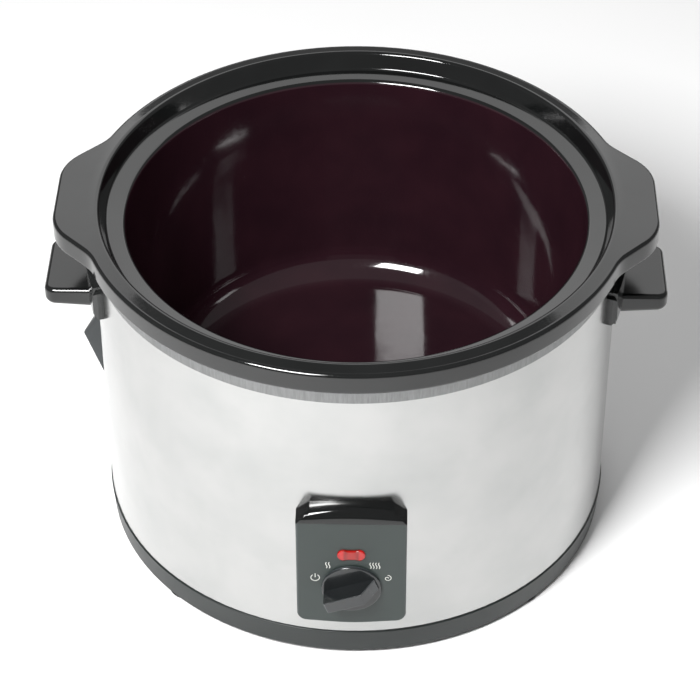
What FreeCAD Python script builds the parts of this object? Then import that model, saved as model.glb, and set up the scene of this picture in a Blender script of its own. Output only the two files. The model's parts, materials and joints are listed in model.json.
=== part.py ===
import FreeCAD, Part
import math
import os

# A round slow cooker: a stoneware crock hangs by its rim in a heated steel housing.
# Millimetres.  +Z is up, the table is z = 0 and Z is the housing's axis.
# The control panel faces -Y.  +X is the right-hand handle.

V = FreeCAD.Vector
UP = V(0, 0, 1)

# ---- driving dimensions -------------------------------------------------------------------

shell_radius = 162.8         # outside of the steel shell
shell_wall = 0.6
shell_height = 198.9         # from its seat on the base ring to its in-turned top
shell_lip = 5.8              # width of the in-turned top

foot_drop = 2.5              # rubber feet below the base ring
base_height = 18.5           # base ring, underside to shell seat
base_overhang = 0.8          # base ring outside the shell, at its top
base_draft = 1.4             # base ring is this much smaller at its underside
base_wall = 2.7
base_floor = 4.0
base_flange = 20.0           # inward flange of the base ring
upstand_height = 10.0        # spigot of the base ring inside the shell
shadow_gap = 0.8             # step beside the shell's lower edge

pan_wall = 0.8               # heating pan, deep-drawn sheet
pan_gap = 9.1                # air between the shell and the pan wall
pan_floor_height = 59.5      # from the base ring's underside to the pan's floor
pan_corner = 26.0
pan_skirt = 10.7             # flange of the pan folded down over the shell
pan_roll = 5.0

crock_clearance = 2.0        # radial, crock in the pan
crock_lift_gap = 5.0         # crock underside above the pan's floor
crock_wall = 7.8
crock_floor = 8.3
crock_taper = 12.6           # the wall leans in this much from rim to underside
crock_corner = 26.0
crock_inner_corner = 20.0
rim_overhang = 6.9           # rim outside the shell
rim_thickness = 14.3         # rim's side height
lip_rise = 1.6               # the lip climbs this much to its inner edge
lip_width = 10.8
lip_wall_lean = 4.4
ledge_width = 12.0           # ledge that a lid rests on
ledge_drop = 11.1            # lip's inner edge down to the ledge
ledge_fall = 1.6             # the ledge falls this much inwards
edge_round = 2.4
foot_ring_width = 9.0
foot_ring_depth = 1.2

lug_reach = 22.6             # lugs beyond the shell
lug_half_width = 33.2        # at the outer edge, before its corner is rounded
lug_flank_angle = 45.0       # degrees, between a flank's normal and the lug's axis
lug_corner = 34.0
lug_blend = 30.0

handle_reach = 31.7          # grips beyond the shell
handle_grip_width = 54.0
handle_height = 23.5         # bracket plate
handle_drop = 17.2           # bracket's top below the pan's flange
handle_plate = 5.7
handle_span = 112.8          # bracket plate across its two posts
grip_drop = 23.0             # grip's top below the bracket's top
grip_tip_thickness = 12.0
grip_root_thickness = 14.5
grip_plan_corner = 7.0
post_width = 8.0
post_depth = 6.0
post_drop = 3.5              # post's top below the bracket's top
post_bevel = 2.4

panel_width = 66.6
panel_height = 96.3
panel_lift = 15.4            # panel's lower edge above the shell's seat
panel_proud = 8.8            # panel's face outside the shell
panel_wall = 2.5
hood_height = 11.1
hood_proud = 0.9             # the hood stands out from the face
panel_corner = 6.5
hood_cut = 6.5               # the upper corners are cut off at 45 degrees
panel_bow = 3.0              # the lower edge is this much lower in the middle
hood_bow = 3.6               # the upper edge is this much higher in the middle

knob_height = 47.2           # knob axis above the shell's seat
knob_diameter = 36.5
knob_skirt = 1.9
knob_gap = 0.4               # behind the knob's skirt
grip_rise = 11.0             # bar grip in front of the skirt
grip_width = 8.4
grip_back_reach = 16.5       # from the axis to the bar's blunt end
grip_shoulder = 7.7          # from the axis to where the bar's crest starts to slope
grip_front_reach = 16.2
grip_toe = 1.2               # height left at the foot of the slope
rib_count = 9
rib_pitch = 1.5
knob_rest_angle = 70.0       # degrees clockwise from the top, seen from the front

lamp_height = 74.8           # pilot lamp above the shell's seat
lamp_width = 17.0
lamp_tall = 8.0
lamp_waist = 6.8
lamp_proud = 1.4

outlet_azimuth = -107.0      # degrees from the front, towards +X
outlet_width = 28.0
outlet_reach = 24.0          # cord outlet's nose beyond the shell
outlet_wall = 2.2
outlet_bottom = 9.0          # above the shell's seat
outlet_nose = 68.4
outlet_top = 102.0
cord_bore = 7.2

switch_width = 28.0
switch_depth = 14.0
spindle_diameter = 5.0
bushing_diameter = 8.0

band_bottom = 79.0           # heater band, above the shell's seat
band_height = 62.0
band_thickness = 1.5
strap_thickness = 0.7
strap_width = 10.0
band_azimuth = -45.0         # the gap in the heater band

post_circle = 100.0
shield_height = 37.5         # heat shield above the base ring's underside
shield_radius = 135.0
plate_overlap = 5.0          # bottom plate on the base ring's flange

# ---- fits ---------------------------------------------------------------------------------

slip = 0.05                  # radial, screws in holes and pieces slid together by hand
turning = 0.05               # radial, the spindle in its bushing
loose = 0.3                  # parts that pass each other freely

# ---- worked out from the above ------------------------------------------------------------

ring_bottom = foot_drop
shell_bottom = ring_bottom + base_height
shell_top = shell_bottom + shell_height
shell_inside = shell_radius - shell_wall
flange_top = shell_top + pan_wall
skirt_bottom = flange_top - pan_wall - pan_skirt
pan_inside = shell_inside - pan_gap - pan_wall
pan_outside = pan_inside + pan_wall
pan_floor_bottom = ring_bottom + pan_floor_height
pan_floor_top = pan_floor_bottom + pan_wall

crock_outside = pan_inside - crock_clearance
crock_inside = crock_outside - crock_wall
crock_bottom = pan_floor_top + crock_lift_gap
crock_floor_top = crock_bottom + crock_floor
rim_radius = shell_radius + rim_overhang
rim_top = flange_top + rim_thickness
lip_top = rim_top + lip_rise
lip_inside = rim_radius - lip_width
ledge_outside = lip_inside - lip_wall_lean
ledge_inside = ledge_outside - ledge_width
ledge_top = lip_top - ledge_drop
lug_radius = shell_radius + lug_reach

ring_inside = shell_inside - slip - base_wall
ring_floor_top = ring_bottom + base_floor
flange_inside = ring_inside - base_flange
plate_thickness = 0.8
plate_recess = 1.0
plate_top = ring_bottom + plate_recess
plate_bottom = plate_top - plate_thickness
plate_radius = flange_inside + plate_overlap

panel_bottom = shell_bottom + panel_lift
panel_top = panel_bottom + panel_height
panel_face = shell_radius + panel_proud
panel_inner_face = panel_face - panel_wall
knob_z = shell_bottom + knob_height
lamp_z = shell_bottom + lamp_height

handle_top = flange_top - handle_drop
handle_bottom = handle_top - handle_height
grip_top = handle_top - grip_drop

shield_bottom = ring_bottom + shield_height
band_low = shell_bottom + band_bottom
band_inside = pan_outside
band_outside = band_inside + band_thickness

# ---- shape helpers ------------------------------------------------------------------------

def rounded_wire(corners, closed=True):
    """Wire through (point, radius) corners; a radius of 0 leaves the corner sharp."""
    count = len(corners)
    passes = []
    for index, (point, radius) in enumerate(corners):
        is_end = not closed and index in (0, count - 1)
        if is_end or radius == 0:
            passes.append((point, None, point))
            continue
        arriving = (point - corners[index - 1][0]).normalize()
        leaving = (corners[(index + 1) % count][0] - point).normalize()
        half_turn = arriving.getAngle(leaving) / 2
        reach = radius * math.tan(half_turn)
        inward = (leaving - arriving).normalize()
        middle = point + inward * (radius / math.cos(half_turn) - radius)
        passes.append((point - arriving * reach, middle, point + leaving * reach))
    edges = []
    for index in range(count):
        entry, middle, leave = passes[index]
        if middle is not None:
            edges.append(Part.Arc(entry, middle, leave).toShape())
        if closed or index < count - 1:
            following = passes[(index + 1) % count][0]
            if leave.distanceToPoint(following) > 1e-6:
                edges.append(Part.makeLine(leave, following))
    return Part.Wire(edges)


def with_radius(corner):
    """A corner given without its radius is sharp."""
    return corner if len(corner) == 3 else (corner[0], corner[1], 0)


def turned(corners):
    """Solid of revolution about Z from an outline of (radius, height[, rounding]) corners."""
    points = [(V(r, 0, z), rounding) for r, z, rounding in map(with_radius, corners)]
    return Part.Face(rounded_wire(points)).revolve(V(0, 0, 0), UP, 360)


def slab(corners, low, high):
    """Flat plate from an outline of (x, y[, rounding]) corners, from low to high along Z."""
    points = [(V(x, y, low), rounding) for x, y, rounding in map(with_radius, corners)]
    return Part.Face(rounded_wire(points)).extrude(V(0, 0, high - low))


def side_slab(corners, half_width):
    """Outline of (y, z[, rounding]) corners, extruded both ways along X."""
    points = [(V(-half_width, y, z), rounding) for y, z, rounding in map(with_radius, corners)]
    return Part.Face(rounded_wire(points)).extrude(V(2 * half_width, 0, 0))


def front_slab(corners, back, front):
    """Outline of (x, z[, rounding]) corners, extruded along Y from back to front."""
    points = [(V(x, back, z), rounding) for x, z, rounding in map(with_radius, corners)]
    return Part.Face(rounded_wire(points)).extrude(V(0, front - back, 0))


def offset_path(path, distance):
    """The open path of (radius, height, bend) corners moved to its own left by distance."""
    moved = []
    last = len(path) - 1
    for index, (r, z, bend) in enumerate(path):
        runs = []
        if index > 0:
            runs.append((r - path[index - 1][0], z - path[index - 1][1]))
        if index < last:
            runs.append((path[index + 1][0] - r, path[index + 1][1] - z))
        normals = [(-dz / math.hypot(dr, dz), dr / math.hypot(dr, dz)) for dr, dz in runs]
        if len(normals) == 1:
            moved.append((r + normals[0][0] * distance, z + normals[0][1] * distance, 0))
            continue
        (ar, az), (br, bz) = normals
        share = distance / (1 + ar * br + az * bz)
        turns_left = ar * bz - az * br > 0
        moved_bend = bend - distance if turns_left else bend + distance
        moved.append((r + (ar + br) * share, z + (az + bz) * share, moved_bend))
    return moved


def turned_sheet(path, thickness):
    """Sheet-metal turning: the path is one face of the sheet, the rest lies to its left."""
    return turned(path + offset_path(path, thickness)[::-1])


def box(low, high):
    size = V(*high) - V(*low)
    return Part.makeBox(size.x, size.y, size.z, V(*low))


def rod(radius, start, end):
    axis = V(*end) - V(*start)
    return Part.makeCylinder(radius, axis.Length, V(*start), axis)


def tube(inner, outer, low, high):
    ring = Part.makeCylinder(outer, high - low, V(0, 0, low))
    return ring.cut(Part.makeCylinder(inner, high - low, V(0, 0, low)))


def at_azimuth(shape, degrees):
    """A shape built towards the front (-Y), turned about Z towards +X."""
    copy = shape.copy()
    copy.rotate(V(0, 0, 0), UP, degrees)
    return copy


def group(shapes):
    """Separate like solids kept in one node."""
    return Part.makeCompound(shapes)


def joined(shapes):
    body = shapes[0]
    for shape in shapes[1:]:
        body = body.fuse(shape)
    return body.removeSplitter()


def edges_where(shape, test):
    return [edge for edge in shape.Edges if test(edge)]


def is_vertical(edge):
    ends = [vertex.Point for vertex in edge.Vertexes]
    if len(ends) != 2:
        return False
    flat = math.hypot(ends[0].x - ends[1].x, ends[0].y - ends[1].y)
    return flat < 0.01 and abs(ends[0].z - ends[1].z) > 1


def is_level_at(edge, height):
    box_of_edge = edge.BoundBox
    return abs(box_of_edge.ZMin - height) < 0.01 and abs(box_of_edge.ZMax - height) < 0.01


def radial_screw(azimuth, height, head_radius, head_height, shank_radius, tip_radius, seat_radius):
    """Screw driven outwards from inside the shell; its head lies inside seat_radius."""
    head = rod(head_radius, (0, -(seat_radius - head_height), height), (0, -seat_radius, height))
    shank = rod(shank_radius, (0, -(seat_radius - head_height / 2), height), (0, -tip_radius, height))
    recess = box((-head_radius, -(seat_radius - head_height + 0.8), height - 0.5),
                 (head_radius, -(seat_radius - head_height), height + 0.5))
    return at_azimuth(joined([head, shank]).cut(recess), azimuth)


def radial_hole(azimuth, height, radius, start_radius, end_radius):
    return at_azimuth(rod(radius, (0, -start_radius, height), (0, -end_radius, height)), azimuth)


# ---- where the fasteners go ---------------------------------------------------------------

screw_m3 = 1.5
screw_m4 = 2.0
small_head_radius = 2.8
small_head_height = 1.8
# a flat head meets the round shell along its two edges
small_screw_seat = math.sqrt(shell_inside ** 2 - small_head_radius ** 2) - slip
handle_screw_azimuths = [side * 90 + offset for side in (-1, 1) for offset in (-7, 7)]
handle_screw_z = grip_top - grip_root_thickness / 2
handle_screw_tip = shell_radius + 12
handle_washer = 0.8
panel_screw_azimuths = (-8.8, 8.8)
panel_screw_heights = (panel_bottom + 12, panel_top - 17)
panel_screw_tip = shell_radius + 5
panel_boss_radius = 3.4
outlet_screw_heights = (shell_bottom + outlet_bottom + 14, shell_bottom + outlet_top - 12)
outlet_screw_tip = shell_radius + 5
foot_azimuths = (45, 135, 225, 315)
foot_circle = (flange_inside + plate_overlap + ring_inside) / 2 + 0.5
post_azimuths = (0, 90, 180, 270)

# ---- crock --------------------------------------------------------------------------------

def make_rim_plate():
    """The crock's rim seen from above: a circle with two lugs, as one plate with rounded edges."""
    lean = math.radians(lug_flank_angle)
    across = V(math.cos(lean), math.sin(lean), 0)        # outward normal of a flank
    along = V(-math.sin(lean), math.cos(lean), 0)
    # the blend is an arc that touches the flank's line and the rim's circle
    flank_distance = lug_radius * across.x + lug_half_width * across.y
    slide = math.sqrt((rim_radius + lug_blend) ** 2 - (flank_distance + lug_blend) ** 2)
    centre = across * (flank_distance + lug_blend) - along * slide
    on_flank = centre - across * lug_blend
    on_rim = centre * (rim_radius / (rim_radius + lug_blend))
    toward = ((on_flank - centre) + (on_rim - centre)).normalize()
    on_blend = centre + toward * lug_blend

    def place(point, side_x, side_y):
        return V(side_x * point.x, side_y * point.y, flange_top)

    edges = []
    for side in (1, -1):
        lug = [(place(on_flank, side, -side), 0),
               (V(side * lug_radius, -side * lug_half_width, flange_top), lug_corner),
               (V(side * lug_radius, side * lug_half_width, flange_top), lug_corner),
               (place(on_flank, side, side), 0)]
        before = Part.Arc(place(on_rim, side, -side),
                          place(on_blend, side, -side),
                          place(on_flank, side, -side))
        after = Part.Arc(place(on_flank, side, side),
                         place(on_blend, side, side),
                         place(on_rim, side, side))
        rim = Part.Arc(place(on_rim, side, side),
                       V(0, side * rim_radius, flange_top),
                       place(on_rim, -side, side))
        edges.append(before.toShape())
        edges += rounded_wire(lug, closed=False).Edges
        edges += [after.toShape(), rim.toShape()]
    plate = Part.Face(Part.Wire(edges)).extrude(V(0, 0, rim_thickness))
    borders = edges_where(plate, lambda edge: is_level_at(edge, flange_top) or is_level_at(edge, rim_top))
    return plate.makeFillet(edge_round, borders)


def make_crock():
    underside_radius = crock_outside - crock_taper
    rim_joint = rim_radius - 1.3 * edge_round
    section = turned([
        (lip_inside, lip_top, edge_round),
        (rim_joint, rim_top),
        (rim_joint, flange_top),
        (crock_outside, flange_top, 3.0),
        (underside_radius, crock_bottom, crock_corner),
        (underside_radius - crock_corner - foot_ring_width, crock_bottom),
        (underside_radius - crock_corner - foot_ring_width - 1, crock_bottom + foot_ring_depth),
        (0, crock_bottom + foot_ring_depth),
        (0, crock_floor_top),
        (crock_inside - crock_taper, crock_floor_top, crock_inner_corner),
        (ledge_inside, ledge_top - ledge_fall, 3.0),
        (ledge_outside, ledge_top, edge_round),
    ])
    hollow = Part.makeCylinder((lip_inside + rim_joint) / 2, rim_thickness, V(0, 0, flange_top))
    return joined([section, make_rim_plate().cut(hollow)])


# ---- housing: shell, pan, base ------------------------------------------------------------

def make_outer_shell():
    shell = turned_sheet([
        (shell_radius, shell_bottom, 0),
        (shell_radius, shell_top, pan_roll - pan_wall - slip),
        (shell_radius - shell_lip, shell_top, 0),
    ], shell_wall)
    inner, outer = shell_inside - 5, shell_radius + 5
    cuts = []
    for azimuth in handle_screw_azimuths:
        cuts.append(radial_hole(azimuth, handle_screw_z, screw_m4 + loose, inner, outer))
    for azimuth in panel_screw_azimuths:
        for height in panel_screw_heights:
            cuts.append(radial_hole(azimuth, height, screw_m3 + loose, inner, outer))
    for height in outlet_screw_heights:
        cuts.append(radial_hole(outlet_azimuth, height, screw_m3 + loose, inner, outer))
    cuts.append(radial_hole(outlet_azimuth, cord_hole_z, cord_bore, inner, outer))
    window_half = switch_width / 2 + 1.5
    cuts.append(box((-window_half, -outer, knob_z - window_half), (window_half, -inner, lamp_z + 7)))
    return shell.cut(cuts)


def make_heating_pan():
    pan = turned_sheet([
        (shell_radius + slip + pan_wall, skirt_bottom, 0),
        (shell_radius + slip + pan_wall, flange_top, pan_roll),
        (pan_inside, flange_top, 3.0),
        (pan_inside, pan_floor_top, pan_corner - pan_wall),
        (0, pan_floor_top, 0),
    ], pan_wall)
    cuts = []
    for x in cutout_screw_x:
        cuts.append(rod(screw_m3 + slip, (x, cutout_y, pan_floor_bottom - 1),
                        (x, cutout_y, pan_floor_top + 1)))
    cuts.append(rod(screw_m3 + slip, (fuse_screw_x, cutout_y, pan_floor_bottom - 1),
                    (fuse_screw_x, cutout_y, pan_floor_top + 1)))
    return pan.cut(cuts)


def make_base_ring():
    outer_top = shell_radius + base_overhang
    ring = turned([
        (outer_top - base_draft, ring_bottom, 1.5),
        (outer_top, shell_bottom - shadow_gap, 0.6),
        (shell_radius + 0.1, shell_bottom - shadow_gap),
        (shell_radius + 0.1, shell_bottom),
        (shell_inside - slip, shell_bottom),
        (shell_inside - slip, shell_bottom + upstand_height, 0.8),
        (ring_inside, shell_bottom + upstand_height),
        (ring_inside, ring_floor_top, 2.0),
        (flange_inside, ring_floor_top),
        (flange_inside, plate_top),
        (plate_radius + loose, plate_top),
        (plate_radius + loose, ring_bottom),
    ])
    cuts = [at_azimuth(rod(foot_stem + slip, (0, -foot_circle, 0), (0, -foot_circle, 20)), azimuth)
            for azimuth in foot_azimuths]
    return ring.cut(cuts)


def make_bottom_plate():
    plate = Part.makeCylinder(plate_radius, plate_thickness, V(0, 0, plate_bottom))
    cuts = []
    for azimuth in post_azimuths:
        cuts.append(at_azimuth(rod(screw_m4 + loose, (0, -post_circle, 0), (0, -post_circle, 20)), azimuth))
    slot_length, slot_width = 34.0, 3.4
    for ring_radius, count in ((45.0, 8), (72.0, 12)):
        for index in range(count):
            slot = slab([
                (-slot_width / 2, -ring_radius - slot_length / 4, slot_width * 0.49),
                (slot_width / 2, -ring_radius - slot_length / 4, slot_width * 0.49),
                (slot_width / 2, -ring_radius + slot_length / 4, slot_width * 0.49),
                (-slot_width / 2, -ring_radius + slot_length / 4, slot_width * 0.49),
            ], 0, 20)
            cuts.append(at_azimuth(slot, 360 / count * (index + 0.5)))
    for x, y in block_screw_places + clamp_screw_places + [earth_place]:
        cuts.append(rod(screw_m3 + slip, (x, y, 0), (x, y, 20)))
    return plate.cut(cuts)


foot_radius = 10.0
foot_stem = 3.6
foot_barb = 5.2


def make_rubber_feet():
    foot = turned([
        (0, 0),
        (foot_radius - 1.5, 0, 0.6),
        (foot_radius, ring_bottom),
        (foot_stem, ring_bottom),
        (foot_stem, ring_floor_top),
        (foot_barb, ring_floor_top),
        (foot_stem - 1, ring_floor_top + 5),
        (0, ring_floor_top + 5),
    ])
    foot.translate(V(0, -foot_circle, 0))
    return group([at_azimuth(foot, azimuth) for azimuth in foot_azimuths])


post_radius = 4.5
post_neck = 3.0


def make_tie_posts():
    post = turned([
        (0, plate_top + 14),
        (screw_m4 + slip, plate_top + 14),
        (screw_m4 + slip, plate_top),
        (post_radius, plate_top),
        (post_radius, shield_bottom),
        (post_neck, shield_bottom),
        (post_neck, pan_floor_bottom),
        (0, pan_floor_bottom),
    ])
    post.translate(V(0, -post_circle, 0))
    return group([at_azimuth(post, azimuth) for azimuth in post_azimuths])


def make_tie_screws():
    head_height = 1.6
    screw = turned([
        (0, plate_bottom - head_height),
        (3.6, plate_bottom - head_height, 0.8),
        (3.6, plate_bottom),
        (screw_m4, plate_bottom),
        (screw_m4, plate_top + 12),
        (0, plate_top + 12),
    ])
    slot = box((-3.0, -0.4, 0), (3.0, 0.4, plate_bottom - head_height + 0.8))
    screw = screw.cut([slot, at_azimuth(slot, 90)])
    screw.translate(V(0, -post_circle, 0))
    return group([at_azimuth(screw, azimuth) for azimuth in post_azimuths])


def make_heat_shield():
    shield = Part.makeCylinder(shield_radius, 0.5, V(0, 0, shield_bottom))
    holes = [at_azimuth(rod(post_neck + slip, (0, -post_circle, 0), (0, -post_circle, 80)), azimuth)
             for azimuth in post_azimuths]
    return shield.cut(holes)


# ---- heater -------------------------------------------------------------------------------

band_gap_half = 3.2          # degrees, half of the gap where the band's ends meet
tab_width = 5.0
tab_thickness = 0.8
tab_drop = 9.0
tab_azimuths = (band_azimuth - 9, band_azimuth + 6.5, band_azimuth + 10.5)
tab_radius = band_outside + tab_thickness / 2 - 0.1


def wedge(azimuth, half_angle, low, high):
    """A wide tapering block that takes a gap out of a ring."""
    reach = shell_radius * 1.2
    side = reach * math.tan(math.radians(half_angle))
    return at_azimuth(slab([(0, 0), (side, -reach), (-side, -reach)], low, high), azimuth)


def make_heater_band():
    band = tube(band_inside, band_outside, band_low, band_low + band_height)
    band = band.cut(wedge(band_azimuth, band_gap_half, band_low, band_low + band_height))
    tabs = []
    for azimuth in tab_azimuths:
        tab = box((-tab_width / 2, -tab_radius - tab_thickness / 2, band_low - tab_drop),
                  (tab_width / 2, -tab_radius + tab_thickness / 2, band_low + 5))
        tabs.append(at_azimuth(tab, azimuth))
    return joined([band] + tabs)


strap_heights = (band_low + 8, band_low + band_height - 18)
strap_ear = 5.2
strap_ear_thickness = 1.2


def make_heater_straps():
    straps = []
    outside = band_outside + strap_thickness
    for low in strap_heights:
        ring = tube(band_outside, outside, low, low + strap_width)
        ring = ring.cut(wedge(band_azimuth, band_gap_half * 0.6, low, low + strap_width))
        gap_side = band_outside * math.tan(math.radians(band_gap_half * 0.6))
        ears = []
        for side in (-1, 1):
            inner_x, outer_x = side * gap_side, side * (gap_side + strap_ear_thickness)
            ear = box((min(inner_x, outer_x), -outside - strap_ear, low),
                      (max(inner_x, outer_x), -band_outside - 0.2, low + strap_width))
            hole = rod(screw_m3 * 0.8 + slip, (-20, strap_screw_y(), low + strap_width / 2),
                       (20, strap_screw_y(), low + strap_width / 2))
            ears.append(at_azimuth(ear.cut(hole), band_azimuth))
        straps.append(joined([ring] + ears))
    return group(straps)


def strap_screw_y():
    return -(band_outside + strap_thickness + strap_ear / 2 + 0.3)


def make_strap_screws():
    screws = []
    gap_side = band_outside * math.tan(math.radians(band_gap_half * 0.6)) + strap_ear_thickness
    for low in strap_heights:
        z = low + strap_width / 2
        y = strap_screw_y()
        shank = rod(screw_m3 * 0.8, (-gap_side - 3, y, z), (gap_side + 1, y, z))
        head = rod(2.1, (gap_side, y, z), (gap_side + 1.6, y, z))
        nut = rod(2.1, (-gap_side - 1.8, y, z), (-gap_side, y, z))
        screws.append(at_azimuth(joined([shank, head, nut]), band_azimuth))
    return group(screws)


# ---- thermal protection under the pan -----------------------------------------------------

cutout_y = -28.0
cutout_screw_x = (-13.0, 13.0)
cutout_radius = 8.0
blade_width = 4.8
blade_thickness = 0.8
fuse_x = -46.0
fuse_screw_x = -46.0
fuse_radius = 2.0


def make_thermal_cutout():
    top = pan_floor_bottom
    flange = slab([(-17, -4, 3.9), (17, -4, 3.9), (17, 4, 3.9), (-17, 4, 3.9)], top - 1.0, top)
    holes = [rod(screw_m3 + slip, (x, 0, top - 3), (x, 0, top + 3)) for x in cutout_screw_x]
    body = Part.makeCylinder(cutout_radius, 9, V(0, 0, top - 9))
    blades = box((-19, -blade_width / 2, top - 8), (19, blade_width / 2, top - 8 + blade_thickness))
    cutout = joined([flange.cut(holes), body, blades])
    cutout.translate(V(0, cutout_y, 0))
    return cutout


def floor_screw(x, y, head_top):
    """Small screw driven upwards into the pan's floor."""
    head = rod(2.6, (x, y, head_top - 1.8), (x, y, head_top))
    shank = rod(screw_m3, (x, y, head_top - 1), (x, y, pan_floor_top + 1.2))
    return joined([head, shank])


def make_cutout_screws():
    return group([floor_screw(x, cutout_y, pan_floor_bottom - 1.0) for x in cutout_screw_x])


def make_thermal_fuse():
    z = pan_floor_bottom - fuse_radius - 3.0
    y = cutout_y - 8
    body = rod(fuse_radius, (fuse_x - 6, y, z), (fuse_x + 6, y, z))
    wire = rod(0.5, (fuse_x - 14, y, z), (fuse_x + 14, y, z))
    return joined([body, wire])


def make_fuse_clip():
    """Spring clip that hangs the thermal fuse under the pan's floor."""
    z = pan_floor_bottom - fuse_radius - 3.0
    y = cutout_y - 8
    foot = box((fuse_x - 4, cutout_y - 14, pan_floor_bottom - 0.8),
               (fuse_x + 4, cutout_y + 4, pan_floor_bottom))
    foot = foot.cut(rod(screw_m3 + slip, (fuse_screw_x, cutout_y, z - 9), (fuse_screw_x, cutout_y, z + 9)))
    saddle = rod(fuse_radius + 0.8, (fuse_x - 4, y, z), (fuse_x + 4, y, z))
    stalk = box((fuse_x - 4, y - 0.6, z + fuse_radius), (fuse_x + 4, y + 0.6, pan_floor_bottom - 0.4))
    clip = joined([foot, saddle, stalk])
    return clip.cut(rod(fuse_radius, (fuse_x - 9, y, z), (fuse_x + 9, y, z)))


def make_fuse_screw():
    return floor_screw(fuse_screw_x, cutout_y, pan_floor_bottom - 0.8)


# ---- terminal block, cord clamp and earth, on the bottom plate ----------------------------

block_x, block_y = -78.0, 62.0
block_size = (44.0, 20.0, 17.0)
block_ways = 3
block_pitch = 13.0
block_screw_places = [(block_x - 19.5, block_y), (block_x + 19.5, block_y)]
clamp_x, clamp_y = -112.0, 34.0
clamp_screw_places = [(clamp_x, clamp_y - 9.5), (clamp_x, clamp_y + 9.5)]
earth_place = (-52.0, 20.0)


def block_way_x(way):
    return block_x + (way - (block_ways - 1) / 2) * block_pitch


def make_terminal_block():
    length, width, height = block_size
    block = box((block_x - length / 2, block_y - width / 2, plate_top),
                (block_x + length / 2, block_y + width / 2, plate_top + height))
    for x, y in block_screw_places:
        block = block.cut(rod(screw_m3 + slip, (x, y, 0), (x, y, 60)))
        block = block.cut(rod(3.2, (x, y, plate_top + 5), (x, y, 60)))
    for way in range(block_ways):
        x = block_way_x(way)
        block = block.cut(rod(1.6, (x, block_y - width, plate_top + 7),
                              (x, block_y + width, plate_top + 7)))
        for y in (block_y - 5, block_y + 5):
            block = block.cut(rod(1.9 + slip, (x, y, plate_top + 7), (x, y, 60)))
    return block


def make_terminal_screws():
    screws = []
    for way in range(block_ways):
        for y in (block_y - 5, block_y + 5):
            x = block_way_x(way)
            screw = rod(1.9, (x, y, plate_top + 10), (x, y, plate_top + block_size[2] - 1))
            slot = box((x - 0.3, y - 3, plate_top + block_size[2] - 2), (x + 0.3, y + 3, 60))
            screws.append(screw.cut(slot))
    return group(screws)


def plate_screw(x, y, top_of_clamped, head_radius=2.8):
    """Screw from above, through a piece on the bottom plate and on through the plate."""
    shank = rod(screw_m3, (x, y, plate_bottom - 0.8), (x, y, top_of_clamped + 1))
    head = rod(head_radius, (x, y, top_of_clamped), (x, y, top_of_clamped + 2))
    return joined([shank, head])


def make_block_screws():
    return group([plate_screw(x, y, plate_top + 5) for x, y in block_screw_places])


def make_cord_clamp():
    clamp = box((clamp_x - 5, clamp_y - 13, plate_top), (clamp_x + 5, clamp_y + 13, plate_top + 9))
    tunnel = rod(cord_bore / 2, (clamp_x - 9, clamp_y, plate_top + 3.4),
                 (clamp_x + 9, clamp_y, plate_top + 3.4))
    slot = box((clamp_x - 9, clamp_y - cord_bore / 2, plate_top - 1),
               (clamp_x + 9, clamp_y + cord_bore / 2, plate_top + 3.4))
    holes = [rod(screw_m3 + slip, (x, y, 0), (x, y, 60)) for x, y in clamp_screw_places]
    return clamp.cut([tunnel, slot] + holes)


def make_clamp_screws():
    return group([plate_screw(x, y, plate_top + 9) for x, y in clamp_screw_places])


def make_earth_screw():
    return plate_screw(*earth_place, plate_top)


# ---- cord outlet on the shell -------------------------------------------------------------

cord_hole_z = shell_bottom + outlet_nose - 16
gland_flange = 1.6
gland_place = 0.8            # how far up the slanted face, from its foot to the nose
gland_half = 10.6


def outlet_slope():
    """Unit vector up the outlet's slanted face, and the face's outward normal, in (-Y, Z)."""
    rise = outlet_nose - outlet_bottom
    length = math.hypot(outlet_reach, rise)
    along = V(0, -outlet_reach / length, rise / length)
    outward = V(0, -rise / length, -outlet_reach / length)
    return along, outward


def gland_centre():
    """Centre of the gland, on the slanted face."""
    low = V(0, -shell_radius, shell_bottom + outlet_bottom)
    high = V(0, -(shell_radius + outlet_reach), shell_bottom + outlet_nose)
    return low + (high - low) * gland_place


def make_outlet_body(inset, half_width):
    """Wedge with a slanted underside and a rounded nose; inset shrinks it by the wall."""
    low = shell_bottom
    reach = shell_radius + outlet_reach - inset
    base = -(shell_radius - 8)
    slope = outlet_reach / (outlet_nose - outlet_bottom)
    nose_z = low + outlet_nose + inset * 0.2
    bottom_z = nose_z - (reach + base) / slope
    top_z = low + outlet_top - inset
    return side_slab([
        (base, bottom_z),
        (-reach, nose_z, 3.0),
        (-(shell_radius + outlet_reach * 0.66 - inset), nose_z + 14, 9.0),
        (-(shell_radius - 1), top_z, 0),
        (base, top_z),
    ], half_width)


def make_cord_outlet():
    body = make_outlet_body(0, outlet_width / 2)

    def is_outer_edge(edge):
        place = edge.CenterOfMass
        return abs(abs(place.x) - outlet_width / 2) < 0.01 and place.y < -(shell_radius - 7)

    body = body.makeFillet(2.0, edges_where(body, is_outer_edge))
    hollow = make_outlet_body(outlet_wall, outlet_width / 2 - outlet_wall)
    bosses = [rod(3.6, (0, -(shell_radius - 5), z), (0, -(shell_radius + 30), z)).common(body)
              for z in outlet_screw_heights]
    body = joined([body.cut(hollow)] + bosses)
    inside = Part.makeCylinder(shell_radius, 400, V(0, 0, -50))
    body = body.cut(inside)
    for z in outlet_screw_heights:
        body = body.cut(rod(screw_m3 + slip, (0, 0, z), (0, -outlet_screw_tip, z)))
    outward = outlet_slope()[1]
    centre = gland_centre()
    body = body.cut(Part.makeCylinder(gland_plug + slip, 12, centre - outward * 6, outward))
    return at_azimuth(body, outlet_azimuth)


gland_plug = 6.4


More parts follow.
